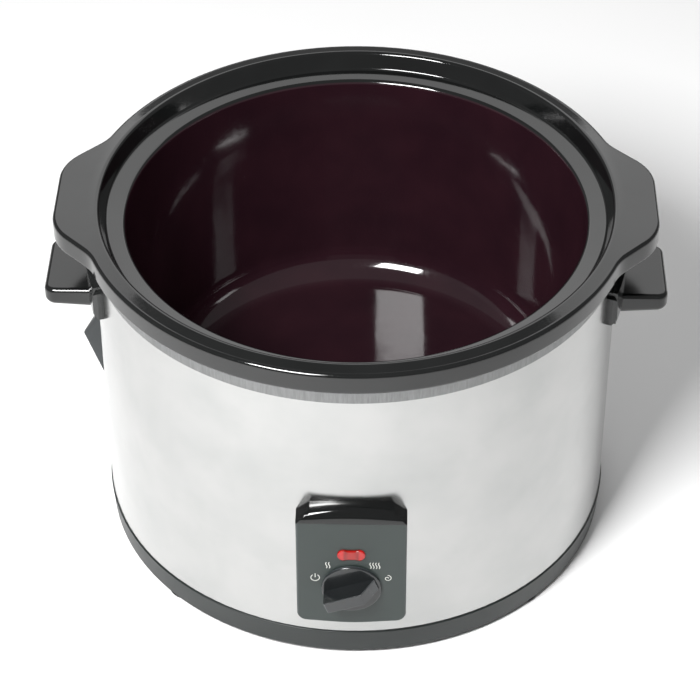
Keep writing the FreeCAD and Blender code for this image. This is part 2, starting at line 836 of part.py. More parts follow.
def make_cord_gland():
    """Rubber bush: an oblong flange outside, a plug through the wall and a lip inside."""
    centre = gland_centre()
    tilt = math.degrees(math.atan2(outlet_reach, outlet_nose - outlet_bottom))
    flange = slab([
        (-gland_half, -gland_half, 3.0),
        (gland_half, -gland_half, 3.0),
        (gland_half, gland_half, 3.0),
        (-gland_half, gland_half, 3.0),
    ], 0, gland_flange)
    plug = Part.makeCylinder(gland_plug, outlet_wall + 0.6, V(0, 0, -outlet_wall - 0.6))
    lip = Part.makeCylinder(gland_plug + 1.2, 1.4, V(0, 0, -outlet_wall - 1.7))
    gland = joined([flange, plug, lip])
    gland = gland.cut(Part.makeCylinder(cord_bore / 2, 30, V(0, 0, -15)))
    gland.rotate(V(0, 0, 0), V(1, 0, 0), 90 + tilt)
    gland.translate(centre)
    return at_azimuth(gland, outlet_azimuth)


def make_outlet_screws():
    return group([radial_screw(outlet_azimuth, z, small_head_radius, small_head_height, screw_m3,
                               outlet_screw_tip - 0.5, small_screw_seat)
                  for z in outlet_screw_heights])


# ---- handles ------------------------------------------------------------------------------

def make_handle(side):
    """Black handle: a curved plate on the shell, a grip that stands out, and two fluted posts."""
    half_angle = math.degrees(math.asin(handle_span / 2 / (shell_radius + handle_plate)))
    outside = shell_radius + handle_plate
    plate = tube(shell_radius, outside, handle_bottom, handle_top)
    sector = wedge(0, half_angle - 1.0, handle_bottom, handle_top)
    plate = plate.common(sector)
    grip = side_slab([
        (-(shell_radius - 6), grip_top),
        (-(shell_radius + handle_reach), grip_top),
        (-(shell_radius + handle_reach), grip_top - grip_tip_thickness),
        (-(shell_radius - 6), grip_top - grip_root_thickness),
    ], handle_grip_width / 2)

    def is_plan_corner(edge):
        return is_vertical(edge) and edge.CenterOfMass.y < -(shell_radius + handle_reach / 2)

    grip = grip.makeFillet(grip_plan_corner, edges_where(grip, is_plan_corner))

    def is_lower_rim(edge):
        place = edge.CenterOfMass
        is_low = place.z < grip_top - grip_tip_thickness + 2
        return is_low and place.y < -(shell_radius + 2) and not is_vertical(edge)

    def is_upper_rim(edge):
        return is_level_at(edge, grip_top) and edge.CenterOfMass.y < -(shell_radius + 2)

    grip = grip.makeFillet(4.0, edges_where(grip, is_lower_rim))
    grip = grip.makeFillet(3.0, edges_where(grip, is_upper_rim))
    posts = [at_azimuth(make_handle_post(), turn * (half_angle - 1.6)) for turn in (-1, 1)]
    handle = joined([plate, grip] + posts)
    handle = handle.cut(Part.makeCylinder(shell_radius, 400, V(0, 0, -50)))
    for azimuth in (-7, 7):
        handle = handle.cut(radial_hole(azimuth, handle_screw_z, screw_m4 + slip, 0, handle_screw_tip))
    return at_azimuth(handle, side * 90)


def make_handle_post():
    """Upright post with bevelled corners and two flutes, its foot and top bevelled too."""
    outer = -(shell_radius + post_depth)
    inner = -(shell_radius - 3)
    half = post_width / 2
    top = handle_top - post_drop
    post = slab([
        (-half, inner), (-half, outer + post_bevel), (-half + post_bevel, outer),
        (half - post_bevel, outer), (half, outer + post_bevel), (half, inner),
    ], handle_bottom, top)
    reach = post_depth + 6
    trim = side_slab([(outer - 1, handle_bottom - 1), (outer + post_bevel + 1, handle_bottom - 1),
                      (outer - 1, handle_bottom + post_bevel + 1)], reach)
    crown = side_slab([(outer - 1, top + 1), (outer + post_bevel + 1, top + 1),
                       (outer - 1, top - post_bevel - 1)], reach)
    flutes = [rod(0.9, (x, outer - 0.3, handle_bottom - 1), (x, outer - 0.3, top + 1)) for x in (-1.2, 1.2)]
    return post.cut([trim, crown] + flutes)


def make_handle_screws():
    return group([radial_screw(azimuth, handle_screw_z, 4.0, 2.0, screw_m4, handle_screw_tip - 1,
                               shell_inside - handle_washer)
                  for azimuth in handle_screw_azimuths])


def make_handle_washers():
    washers = []
    for azimuth in handle_screw_azimuths:
        outer = shell_inside
        washer = rod(5.0, (0, -(outer - handle_washer), handle_screw_z), (0, -outer - 1, handle_screw_z))
        washer = washer.common(Part.makeCylinder(outer, 400, V(0, 0, 0)))
        washer = washer.cut(rod(screw_m4 + slip, (0, 0, handle_screw_z), (0, -shell_radius, handle_screw_z)))
        washers.append(at_azimuth(washer, azimuth))
    return group(washers)


# ---- control panel ------------------------------------------------------------------------

def panel_outline(inset):
    """Front outline of the panel: bowed upper and lower edges, cut upper and rounded lower corners."""
    half = panel_width / 2 - inset
    low = panel_bottom + inset
    top = panel_top - inset
    return [
        (-half, top - hood_bow - hood_cut, 1.5), (-half + hood_cut, top - hood_bow, 6.0),
        (0, top, 120.0),
        (half - hood_cut, top - hood_bow, 6.0), (half, top - hood_bow - hood_cut, 1.5),
        (half, low + panel_bow, panel_corner - inset / 2), (0, low, 120.0),
        (-half, low + panel_bow, panel_corner - inset / 2),
    ]


def make_panel_mass(inset):
    back = -(shell_radius - 12)
    face = -(panel_face - inset)
    hood = panel_top - hood_height
    profile = side_slab([
        (back, panel_bottom - 1),
        (face, panel_bottom - 1),
        (face, hood),
        (face - hood_proud, hood + 0.6, 0.5),
        (face - hood_proud, hood + 2.5, 2.4),
        (-(shell_radius - 1), panel_top - inset * 0.4, 4.0),
        (back, panel_top - inset * 0.4),
    ], panel_width)
    outline = front_slab(panel_outline(inset), back, face - hood_proud - 1)
    return profile.common(outline)


def lamp_outline(grow, front, back):
    """Pill with a slight waist, along Y."""
    radius = lamp_tall / 2 + grow
    offset = lamp_width / 2 - lamp_tall / 2
    ends = [rod(radius, (x, front, lamp_z), (x, back, lamp_z)) for x in (-offset, offset)]
    waist = lamp_waist / 2 + grow
    middle = box((-offset, min(front, back), lamp_z - waist), (offset, max(front, back), lamp_z + waist))
    return joined(ends + [middle])


def make_control_panel():
    mass = make_panel_mass(0)

    def is_side_edge(edge):
        place = edge.CenterOfMass
        on_face = abs(place.y + panel_face) < 0.01 and place.z < panel_top - hood_height - 0.1
        return on_face

    mass = mass.makeFillet(1.4, edges_where(mass, is_side_edge))
    bosses = []
    for azimuth in panel_screw_azimuths:
        for z in panel_screw_heights:
            # long enough to run into the slanted-away wall; what stands out is trimmed below
            boss = rod(panel_boss_radius, (0, -(shell_radius - 3), z), (0, -(panel_face + panel_wall), z))
            bosses.append(at_azimuth(boss, azimuth))
    hollow = make_panel_mass(panel_wall)
    panel = joined([mass.cut(hollow)] + [boss.common(mass) for boss in bosses])
    panel = panel.cut(Part.makeCylinder(shell_radius, 400, V(0, 0, -50)))
    for azimuth in panel_screw_azimuths:
        for z in panel_screw_heights:
            panel = panel.cut(radial_hole(azimuth, z, screw_m3 + slip, 0, panel_screw_tip))
    bushing_hole = rod(bushing_diameter / 2 + slip, (0, -shell_inside, knob_z), (0, -(panel_face + 5), knob_z))
    panel = panel.cut(bushing_hole)
    panel = panel.cut([switch_screw_blank(x, slip) for x in switch_screw_x])
    return panel.cut(lamp_outline(slip, -(panel_face + 5), -(panel_inner_face - 3)))


def make_panel_screws():
    return group([radial_screw(azimuth, z, small_head_radius, small_head_height, screw_m3,
                               panel_screw_tip - 0.5, small_screw_seat)
                  for azimuth in panel_screw_azimuths for z in panel_screw_heights])


# ---- pilot lamp ---------------------------------------------------------------------------

lens_wall = 1.1
lens_flange = 1.2
neon_radius = 2.0
neon_length = 11.0


def make_lamp_lens():
    front = -(panel_face + lamp_proud)
    back = -panel_inner_face
    pill = lamp_outline(0, front, back)
    rim = edges_where(pill, lambda edge: abs(edge.CenterOfMass.y - front) < 0.01)
    pill = pill.makeFillet(0.7, rim)
    flange = lamp_outline(1.6, back, back + lens_flange)
    hollow = lamp_outline(-lens_wall, front + lens_wall, back + lens_flange)
    return joined([pill, flange]).cut(hollow)


def make_neon_lamp():
    front = -(panel_face + lamp_proud) + lens_wall + loose
    body = rod(neon_radius, (0, front + neon_radius, lamp_z), (0, front + neon_length, lamp_z))
    dome = Part.makeSphere(neon_radius, V(0, front + neon_radius, lamp_z))
    legs = [rod(0.3, (x, front + neon_length - 1, lamp_z), (x, front + neon_length + 4, lamp_z))
            for x in (-1, 1)]
    return joined([body, dome] + legs)


def make_lamp_holder():
    """Clip box that presses the lens against the back of the panel and holds the neon lamp."""
    front = -panel_inner_face + lens_flange
    back = front + 8
    shell_box = box((-12, front, lamp_z - 6.5), (12, back, lamp_z + 6.5))
    hollow = box((-10.5, front - 1, lamp_z - 5), (10.5, back - 1.5, lamp_z + 5))
    grip_hole = rod(neon_radius + slip, (0, front - 1, lamp_z), (0, back + 1, lamp_z))
    return shell_box.cut([hollow, grip_hole])


# ---- rotary switch ------------------------------------------------------------------------

switch_front = -panel_inner_face
switch_cover_thickness = 3.0
switch_back = switch_front + switch_depth
rotor_radius = 10.0
rotor_thickness = 5.0
spindle_end = -(panel_face + knob_gap + knob_skirt + 7.5)
spindle_flat = 0.9
bushing_end = -(panel_face + knob_gap / 2)
switch_screw_x = (-9.5, 9.5)
switch_screw_depth = 4.5     # into the switch body
switch_blade_x = (-10.5, -3.5, 3.5, 10.5)
switch_blade_drop = 7.0
switch_blade_y = switch_back - switch_cover_thickness / 2


def make_switch_body():
    half = switch_width / 2
    block_back = switch_back - switch_cover_thickness
    block = box((-half, switch_front, knob_z - half), (half, block_back, knob_z + half))
    block = block.makeFillet(2.0, edges_where(block, lambda edge: abs(edge.BoundBox.YLength) > 5))
    bushing = rod(bushing_diameter / 2, (0, switch_front + 1, knob_z), (0, bushing_end, knob_z))
    body = joined([block, bushing])
    bore = rod(spindle_diameter / 2 + turning, (0, switch_front + 20, knob_z), (0, bushing_end - 5, knob_z))
    cavity_front = block_back - rotor_thickness - 2 * loose
    cavity = rod(rotor_radius + loose, (0, cavity_front, knob_z), (0, switch_back, knob_z))
    hole_end = switch_front + switch_screw_depth + 0.3
    holes = [rod(screw_m3, (x, switch_front - 1, knob_z), (x, hole_end, knob_z)) for x in switch_screw_x]
    return body.cut([bore, cavity] + holes)


def make_switch_cover():
    half = switch_width / 2
    front = switch_back - switch_cover_thickness
    cover = box((-half, front, knob_z - half), (half, switch_back, knob_z + half))
    cover = cover.makeFillet(2.0, edges_where(cover, lambda edge: abs(edge.BoundBox.YLength) > 2))
    low = knob_z - half - switch_blade_drop
    blades = []
    for x in switch_blade_x:
        y = switch_blade_y
        blades.append(box((x - blade_width / 2, y - blade_thickness / 2, low),
                          (x + blade_width / 2, y + blade_thickness / 2, knob_z - half + 2)))
    return joined([cover] + blades)


def switch_screw_blank(x, grow):
    """Countersunk head and shank; grown by a clearance, it is the hole."""
    head_radius = 2.8 + grow
    shank_radius = screw_m3 - slip + grow
    head = Part.makeCone(head_radius, shank_radius, 1.4, V(x, -panel_face, knob_z), V(0, 1, 0))
    shank = rod(shank_radius, (x, -panel_face + 1, knob_z), (x, switch_front + switch_screw_depth, knob_z))
    return head.fuse(shank).removeSplitter()


def make_switch_screws():
    """Two countersunk screws, hidden behind the knob, hold the switch to the panel."""
    screws = []
    for x in switch_screw_x:
        slot = box((x - 3, -panel_face - 1, knob_z - 0.3), (x + 3, -panel_face + 0.6, knob_z + 0.3))
        screws.append(switch_screw_blank(x, 0).cut(slot))
    return group(screws)


def make_spindle():
    rotor_back = switch_back - switch_cover_thickness - loose
    rotor = rod(rotor_radius, (0, rotor_back, knob_z), (0, rotor_back - rotor_thickness, knob_z))
    shaft = rod(spindle_diameter / 2, (0, rotor_back - 1, knob_z), (0, spindle_end, knob_z))
    flat = box((-5, spindle_end - 1, knob_z + spindle_diameter / 2 - spindle_flat),
               (5, knob_back + 0.1, knob_z + 5))
    return turn_to_rest(joined([rotor, shaft.cut(flat)]))


# ---- knob ---------------------------------------------------------------------------------

knob_back = -(panel_face + knob_gap)
knob_skirt_front = knob_back - knob_skirt
knob_front = knob_skirt_front - grip_rise
spring_thickness = 0.4


def turn_to_rest(shape):
    """Knob parts are built pointing up, then turned clockwise to the rest position."""
    copy = shape.copy()
    copy.rotate(V(0, 0, knob_z), V(0, 1, 0), knob_rest_angle)
    return copy


def make_control_knob():
    """Thin round skirt with a straight bar grip whose pointing end slopes down to the skirt."""
    radius = knob_diameter / 2
    skirt = rod(radius, (0, knob_back, knob_z), (0, knob_skirt_front, knob_z))
    rims = edges_where(skirt, lambda edge: abs(edge.CenterOfMass.y - knob_skirt_front) < 0.01)
    skirt = skirt.makeFillet(0.9, rims)
    half = grip_width / 2
    inside = knob_skirt_front + knob_skirt / 2
    grip = side_slab([
        (inside, knob_z - grip_back_reach),
        (knob_front, knob_z - grip_back_reach, 0.8),
        (knob_front, knob_z + grip_shoulder, 1.0),
        (knob_skirt_front - grip_toe, knob_z + grip_front_reach),
        (inside, knob_z + grip_front_reach),
    ], half)

    def is_crest_edge(edge):
        place = edge.CenterOfMass
        return abs(abs(place.x) - half) < 0.01 and place.y < knob_skirt_front - grip_toe

    grip = grip.makeFillet(0.5, edges_where(grip, is_crest_edge))
    grooves = []
    for index in range(rib_count):
        z = knob_z - grip_back_reach + 2.4 + index * rib_pitch
        groove = 0.35
        for side in (-1, 1):
            x = side * half
            grooves.append(rod(groove, (x, knob_skirt_front - 0.8, z), (x, knob_front - 1, z)))
        grooves.append(rod(groove, (-half - 1, knob_front, z), (half + 1, knob_front, z)))
    bore = rod(spindle_diameter / 2 + slip, (0, knob_back + 1, knob_z), (0, spindle_end - 0.5, knob_z))
    flat_height = knob_z + spindle_diameter / 2 - spindle_flat + slip + spring_thickness
    flat = box((-5, spindle_end - 2, flat_height), (5, knob_back + 2, knob_z + 6))
    knob = joined([skirt, grip.cut(grooves)]).cut(bore.cut(flat))
    return turn_to_rest(knob)


def make_knob_spring():
    """Flat spring between the spindle's flat and the knob's bore."""
    low = knob_z + spindle_diameter / 2 - spindle_flat + slip / 2
    spring = box((-1.5, spindle_end - 0.2, low), (1.5, knob_back, low + spring_thickness))
    return turn_to_rest(spring)


# ---- internal leads -----------------------------------------------------------------------

lead_radius = 1.1
bend_share = 0.45            # each bend's tangents take this share of the shorter run beside it


def make_lead(points):
    """Insulated lead: straight runs joined by tangent arcs as large as the runs allow."""
    corners = []
    for index, point in enumerate(points):
        if index in (0, len(points) - 1):
            corners.append((V(*point), 0))
            continue
        arriving = V(*point) - V(*points[index - 1])
        leaving = V(*points[index + 1]) - V(*point)
        half_turn = arriving.getAngle(leaving) / 2
        shorter = min(arriving.Length, leaving.Length)
        corners.append((V(*point), bend_share * shorter / math.tan(half_turn)))
    path = rounded_wire(corners, closed=False)
    start = V(*points[0])
    ring = Part.Wire(Part.makeCircle(lead_radius, start, V(*points[1]) - start))
    lead = path.makePipeShell([ring], True, False)
    return lead


def around(azimuth, radius, height):
    """Point at an azimuth from the front."""
    angle = math.radians(azimuth)
    return (radius * math.sin(angle), -radius * math.cos(angle), height)


def make_leads():
    blade_foot = knob_z - switch_width / 2 - switch_blade_drop
    blade = [(x, switch_blade_y, blade_foot) for x in switch_blade_x]
    tab = [around(azimuth, tab_radius, band_low - tab_drop) for azimuth in tab_azimuths]
    way_z = plate_top + 7
    block_front = block_y - block_size[1] / 2
    cutout_z = pan_floor_bottom - 8 + blade_thickness / 2
    fuse_z = pan_floor_bottom - fuse_radius - 3.0
    fuse_y = cutout_y - 8
    low_ring = ring_inside - 9
    leads = {}
    leads["low_heat_lead"] = make_lead([
        blade[1], (blade[1][0], blade[1][1], blade_foot - 14), around(-14, low_ring, 28),
        around(-28, low_ring, 30), around(tab_azimuths[1], low_ring, 44),
        (tab[1][0], tab[1][1], tab[1][2] - 22), tab[1]])
    leads["high_heat_lead"] = make_lead([
        blade[0], (blade[0][0], blade[0][1], blade_foot - 9), around(-18, low_ring, 36),
        around(-27, low_ring, 42), around(tab_azimuths[2], low_ring, 56),
        (tab[2][0], tab[2][1], tab[2][2] - 16), tab[2]])
    leads["neutral_lead"] = make_lead([
        tab[0], (tab[0][0], tab[0][1], tab[0][2] - 22), around(-62, low_ring, 30),
        around(-78, low_ring - 8, 18), (-118, 8, way_z), (block_way_x(0), 26, way_z),
        (block_way_x(0), block_front, way_z)])
    leads["switch_lead"] = make_lead([
        (19, cutout_y, cutout_z), (34, cutout_y, cutout_z), (50, cutout_y - 26, cutout_z),
        (40, -118, cutout_z), (16, -low_ring, 34),
        (blade[2][0], blade[2][1], blade_foot - 16), blade[2]])
    leads["supply_lead"] = make_lead([
        (fuse_x - 14, fuse_y, fuse_z), (fuse_x - 32, fuse_y, fuse_z), (-118, fuse_y - 4, fuse_z - 4),
        (-142, -20, 40), (-134, 6, 22), (block_way_x(1) - 12, 20, way_z),
        (block_way_x(1), 38, way_z), (block_way_x(1), block_front, way_z)])
    leads["fuse_lead"] = make_lead([
        (fuse_x + 14, fuse_y, fuse_z), (fuse_x + 20, fuse_y, fuse_z),
        (-23, cutout_y, cutout_z), (-19, cutout_y, cutout_z)])
    earth_x, earth_y = earth_place
    earth_z = plate_top + lead_radius
    leads["earth_lead"] = make_lead([
        (block_way_x(2), block_front, way_z), (block_way_x(2), 40, way_z),
        (earth_x, earth_y + 12, earth_z), (earth_x, earth_y + 2.8, earth_z)])
    return leads


# ---- the whole slow cooker ----------------------------------------------------------------

def make_pieces():
    pieces = {
        "crock": make_crock(),
        "outer_shell": make_outer_shell(),
        "heating_pan": make_heating_pan(),
        "base_ring": make_base_ring(),
        "bottom_plate": make_bottom_plate(),
        "rubber_feet": make_rubber_feet(),
        "tie_posts": make_tie_posts(),
        "tie_screws": make_tie_screws(),
        "heat_shield": make_heat_shield(),
        "heater_band": make_heater_band(),
        "heater_straps": make_heater_straps(),
        "strap_screws": make_strap_screws(),
        "thermal_cutout": make_thermal_cutout(),
        "cutout_screws": make_cutout_screws(),
        "thermal_fuse": make_thermal_fuse(),
        "fuse_clip": make_fuse_clip(),
        "fuse_screw": make_fuse_screw(),
        "terminal_block": make_terminal_block(),
        "terminal_screws": make_terminal_screws(),
        "block_screws": make_block_screws(),
        "cord_clamp": make_cord_clamp(),
        "clamp_screws": make_clamp_screws(),
        "earth_screw": make_earth_screw(),
        "cord_outlet": make_cord_outlet(),
        "cord_gland": make_cord_gland(),
        "outlet_screws": make_outlet_screws(),
        "left_handle": make_handle(-1),
        "right_handle": make_handle(1),
        "handle_screws": make_handle_screws(),
        "handle_washers": make_handle_washers(),
        "control_panel": make_control_panel(),
        "panel_screws": make_panel_screws(),
        "lamp_lens": make_lamp_lens(),
        "neon_lamp": make_neon_lamp(),
        "lamp_holder": make_lamp_holder(),
        "switch_body": make_switch_body(),
        "switch_cover": make_switch_cover(),
        "switch_screws": make_switch_screws(),
        "switch_spindle": make_spindle(),
        "control_knob": make_control_knob(),
        "knob_spring": make_knob_spring(),
    }
    pieces.update(make_leads())
    return pieces


if __name__ == "__main__":
    os.makedirs("parts", exist_ok=True)
    for name, shape in make_pieces().items():
        shape.exportStep(f"parts/{name}.step")
        print(f"{name}: {len(shape.Solids)} solids, {shape.Volume / 1000:.2f} cm3, valid {shape.isValid()}")
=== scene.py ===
import bpy
import bmesh
import json
import math
from mathutils import Matrix, Vector


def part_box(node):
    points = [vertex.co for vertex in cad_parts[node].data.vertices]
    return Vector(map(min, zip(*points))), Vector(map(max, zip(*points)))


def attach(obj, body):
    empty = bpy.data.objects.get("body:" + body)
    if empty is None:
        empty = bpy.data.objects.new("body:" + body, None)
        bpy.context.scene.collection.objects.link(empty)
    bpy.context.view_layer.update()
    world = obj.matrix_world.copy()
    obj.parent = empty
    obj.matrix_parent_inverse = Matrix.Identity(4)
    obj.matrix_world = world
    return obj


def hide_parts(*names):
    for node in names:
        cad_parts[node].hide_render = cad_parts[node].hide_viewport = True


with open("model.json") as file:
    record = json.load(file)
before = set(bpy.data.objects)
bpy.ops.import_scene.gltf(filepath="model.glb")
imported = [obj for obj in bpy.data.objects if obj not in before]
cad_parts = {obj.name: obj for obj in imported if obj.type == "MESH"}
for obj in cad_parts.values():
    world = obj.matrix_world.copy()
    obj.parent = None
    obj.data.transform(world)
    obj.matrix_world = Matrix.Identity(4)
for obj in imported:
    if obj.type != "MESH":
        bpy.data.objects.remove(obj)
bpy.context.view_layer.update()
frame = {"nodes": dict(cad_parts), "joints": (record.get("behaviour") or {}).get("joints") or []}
print("frame loaded")

mm = 0.001
near = 0.02 * mm      # two places closer than this are the same place


# ---- places read from the frame
def low(node):
    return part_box(node)[0]


def high(node):
    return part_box(node)[1]


knobJoint = next(j for j in frame["joints"] if j["name"] == "knob_turn")
knobAxis = Vector(knobJoint["pos_m"])
panelFace = knobAxis.y        # the panel's flat front
hoodHeight = 10.0 * mm
hoodLine = high("control_panel").z - hoodHeight
shellRadius = high("outer_shell").x
shellTop = high("outer_shell").z
rimTop = high("crock").z
rimRadius = high("crock").y
lugRadius = high("crock").x


# ---- small helpers
def hexColor(text):
    # sRGB hex to linear
    parts = [int(text[i:i + 2], 16) / 255 for i in (0, 2, 4)]
    return tuple(p / 12.92 if p <= 0.04045 else ((p + 0.055) / 1.055) ** 2.4 for p in parts) + (1,)


def addNode(mat, kind, settings=None, links=None):
    # settings: attribute, input name or input number to value; links: input to an output socket
    node = mat.node_tree.nodes.new(kind)
    for key, value in (settings or {}).items():
        if isinstance(key, str) and hasattr(node, key):
            setattr(node, key, value)
        else:
            node.inputs[key].default_value = value
    for key, socket in (links or {}).items():
        mat.node_tree.links.new(socket, node.inputs[key])
    return node


def newMaterial(name, sockets):
    # sockets: what is the same all over, set straight on the shader
    mat = bpy.data.materials.new(name)
    mat.use_nodes = True
    shader = mat.node_tree.nodes["Principled BSDF"]
    for key, value in sockets.items():
        shader.inputs[key].default_value = value
    coords = addNode(mat, "ShaderNodeTexCoord").outputs["Object"]
    return mat, shader, coords


def feed(mat, shader, links):
    for key, socket in links.items():
        mat.node_tree.links.new(socket, shader.inputs[key])


def assign(mat, *nodes):
    for node in nodes:
        for entry in frame["nodes"][node].material_slots:
            entry.material = mat


# ---- materials
# stoneware, dipped glaze: black outside, dark brown-purple inside, pooled and slightly wavy
glaze = {
    "outside": "111212", "outsidePool": "0a0b0b", "inside": "1f0f15", "insideThin": "261319",
    "waveMm": 34, "waveDepth": 0.5 * mm, "pinholeMm": 2.2, "roughness": 0.055, "pinholeRough": 0.06,
    "wallFoot": 124 * mm, "wallLean": 0.0852, "floorRise": 7.8 * mm, "lipDrop": 12 * mm,
}


def glazedStoneware():
    mat, shader, coords = newMaterial("glazed_stoneware_dipped", {"IOR": 1.55})
    height = addNode(mat, "ShaderNodeSeparateXYZ", None, {"Vector": coords}).outputs["Z"]
    flat = addNode(mat, "ShaderNodeVectorMath", {"operation": "MULTIPLY", 1: (1, 1, 0)}, {0: coords})
    radius = addNode(mat, "ShaderNodeVectorMath", {"operation": "LENGTH"}, {0: flat.outputs["Vector"]})
    # the middle of the wall leans out with height; inside of it the brown glaze shows
    wall = addNode(mat, "ShaderNodeMath", {
        "operation": "MULTIPLY_ADD", 1: glaze["wallLean"], 2: glaze["wallFoot"]}, {0: height})
    inner = addNode(mat, "ShaderNodeMath", {"operation": "LESS_THAN"}, {
        0: radius.outputs["Value"], 1: wall.outputs[0]})
    aboveFloor = addNode(mat, "ShaderNodeMath", {
        "operation": "GREATER_THAN", 1: low("crock").z + glaze["floorRise"]}, {0: height})
    belowLip = addNode(mat, "ShaderNodeMath", {
        "operation": "LESS_THAN", 1: rimTop - glaze["lipDrop"]}, {0: height})
    between = addNode(mat, "ShaderNodeMath", {"operation": "MULTIPLY"}, {
        0: aboveFloor.outputs[0], 1: belowLip.outputs[0]})
    isInside = addNode(mat, "ShaderNodeMath", {"operation": "MULTIPLY"}, {
        0: inner.outputs[0], 1: between.outputs[0]})
    wave = addNode(mat, "ShaderNodeTexNoise", {
        "Scale": 1 / (glaze["waveMm"] * mm), "Detail": 2.0}, {"Vector": coords})
    pool = addNode(mat, "ShaderNodeMapRange", {"From Min": 0.3, "From Max": 0.75}, {
        "Value": wave.outputs["Fac"]})
    outerColor = addNode(mat, "ShaderNodeMix", {
        "data_type": "RGBA", 6: hexColor(glaze["outside"]), 7: hexColor(glaze["outsidePool"])}, {
        0: pool.outputs[0]})
    innerColor = addNode(mat, "ShaderNodeMix", {
        "data_type": "RGBA", 6: hexColor(glaze["inside"]), 7: hexColor(glaze["insideThin"])}, {
        0: pool.outputs[0]})
    color = addNode(mat, "ShaderNodeMix", {"data_type": "RGBA"}, {
        0: isInside.outputs[0], 6: outerColor.outputs[2], 7: innerColor.outputs[2]})
    pinholes = addNode(mat, "ShaderNodeTexNoise", {
        "Scale": 1 / (glaze["pinholeMm"] * mm), "Detail": 2.0}, {"Vector": coords})
    rough = addNode(mat, "ShaderNodeMapRange", {
        "From Min": 0.35, "From Max": 0.8, "To Min": glaze["roughness"],
        "To Max": glaze["roughness"] + glaze["pinholeRough"]}, {"Value": pinholes.outputs["Fac"]})
    bump = addNode(mat, "ShaderNodeBump", {"Distance": glaze["waveDepth"], "Strength": 0.25}, {
        "Height": wave.outputs["Fac"]})
    feed(mat, shader, {
        "Base Color": color.outputs[2], "Roughness": rough.outputs[0], "Normal": bump.outputs["Normal"]})
    return mat


# stainless steel sheet, bright-rolled and buffed: fine level brushing, a few finger smears
steel = {
    "base": "b4b4b3", "shade": "aaabaa", "brushMm": 0.9, "brushStretch": (0.03, 0.03, 1.0),
    "brushDepth": 0.02 * mm, "brushRough": 0.05, "smearMm": 45, "smearRough": 0.05, "roughness": 0.17,
}


def polishedSteel():
    mat, shader, coords = newMaterial("stainless_steel_buffed", {"Metallic": 1.0, "Anisotropic": 0.35})
    along = addNode(mat, "ShaderNodeMapping", {"Scale": steel["brushStretch"]}, {"Vector": coords})
    brush = addNode(mat, "ShaderNodeTexNoise", {
        "Scale": 1 / (steel["brushMm"] * mm), "Detail": 2.0, "Roughness": 0.6}, {
        "Vector": along.outputs["Vector"]})
    smear = addNode(mat, "ShaderNodeTexNoise", {
        "Scale": 1 / (steel["smearMm"] * mm), "Detail": 4.0, "Roughness": 0.6}, {"Vector": coords})
    smeared = addNode(mat, "ShaderNodeMapRange", {"From Min": 0.35, "From Max": 0.75}, {
        "Value": smear.outputs["Fac"]})
    color = addNode(mat, "ShaderNodeMix", {
        "data_type": "RGBA", 6: hexColor(steel["base"]), 7: hexColor(steel["shade"])}, {
        0: smeared.outputs[0]})
    smearRough = addNode(mat, "ShaderNodeMapRange", {
        "From Min": 0.4, "From Max": 0.8, "To Min": steel["roughness"],
        "To Max": steel["roughness"] + steel["smearRough"]}, {"Value": smear.outputs["Fac"]})
    brushRough = addNode(mat, "ShaderNodeMapRange", {
        "From Min": 0.3, "From Max": 0.7, "To Max": steel["brushRough"]}, {"Value": brush.outputs["Fac"]})
    rough = addNode(mat, "ShaderNodeMath", {"operation": "ADD"}, {
        0: smearRough.outputs[0], 1: brushRough.outputs[0]})
    bump = addNode(mat, "ShaderNodeBump", {"Distance": steel["brushDepth"], "Strength": 0.25}, {
        "Height": brush.outputs["Fac"]})
    feed(mat, shader, {
        "Base Color": color.outputs[2], "Roughness": rough.outputs[0], "Normal": bump.outputs["Normal"]})
    return mat


# drawn sheet steel, satin: the pan's rolled flange. Its base tone is far darker than bare steel: partly the
# satin sheet's own grey, partly painted shade for the band under the crock's rim
panSteelPaintedShade = {
    "base": "848585", "shade": "707171", "drawMm": 1.2, "drawStretch": (1.0, 1.0, 0.1),
    "drawDepth": 0.02 * mm, "roughness": 0.28, "drawRough": 0.1,
}


def satinSteelWithPaintedShade():
    mat, shader, coords = newMaterial("steel_sheet_drawn_satin_painted_shade", {"Metallic": 1.0})
    along = addNode(mat, "ShaderNodeMapping", {"Scale": panSteelPaintedShade["drawStretch"]}, {"Vector": coords})
    draw = addNode(mat, "ShaderNodeTexNoise", {
        "Scale": 1 / (panSteelPaintedShade["drawMm"] * mm), "Detail": 3.0, "Roughness": 0.6}, {
        "Vector": along.outputs["Vector"]})
    drawn = addNode(mat, "ShaderNodeMapRange", {"From Min": 0.3, "From Max": 0.8}, {
        "Value": draw.outputs["Fac"]})
    # the base tone holds painted shade for the band under the crock's rim; the drawn lines darken it at
    # random
    color = addNode(mat, "ShaderNodeMix", {
        "data_type": "RGBA", 6: hexColor(panSteelPaintedShade["base"]), 7: hexColor(panSteelPaintedShade["shade"])}, {
        0: drawn.outputs[0]})
    rough = addNode(mat, "ShaderNodeMapRange", {
        "From Min": 0.3, "From Max": 0.75, "To Min": panSteelPaintedShade["roughness"],
        "To Max": panSteelPaintedShade["roughness"] + panSteelPaintedShade["drawRough"]}, {"Value": draw.outputs["Fac"]})
    bump = addNode(mat, "ShaderNodeBump", {"Distance": panSteelPaintedShade["drawDepth"], "Strength": 0.2}, {
        "Height": draw.outputs["Fac"]})
    feed(mat, shader, {
        "Base Color": color.outputs[2], "Roughness": rough.outputs[0], "Normal": bump.outputs["Normal"]})
    return mat


# moulded plastics: spark-eroded grain, slight flow shading, edges a little paler from wear
moulded = {
    "grainMm": 0.6,      # real grain is 0.1 mm; drawn coarser so that it shows
    "flowMm": 22, "flowPale": 1.18, "flowRough": 0.07, "wearFrom": 0.5, "wearTo": 0.58, "wearMost": 0.5,
}


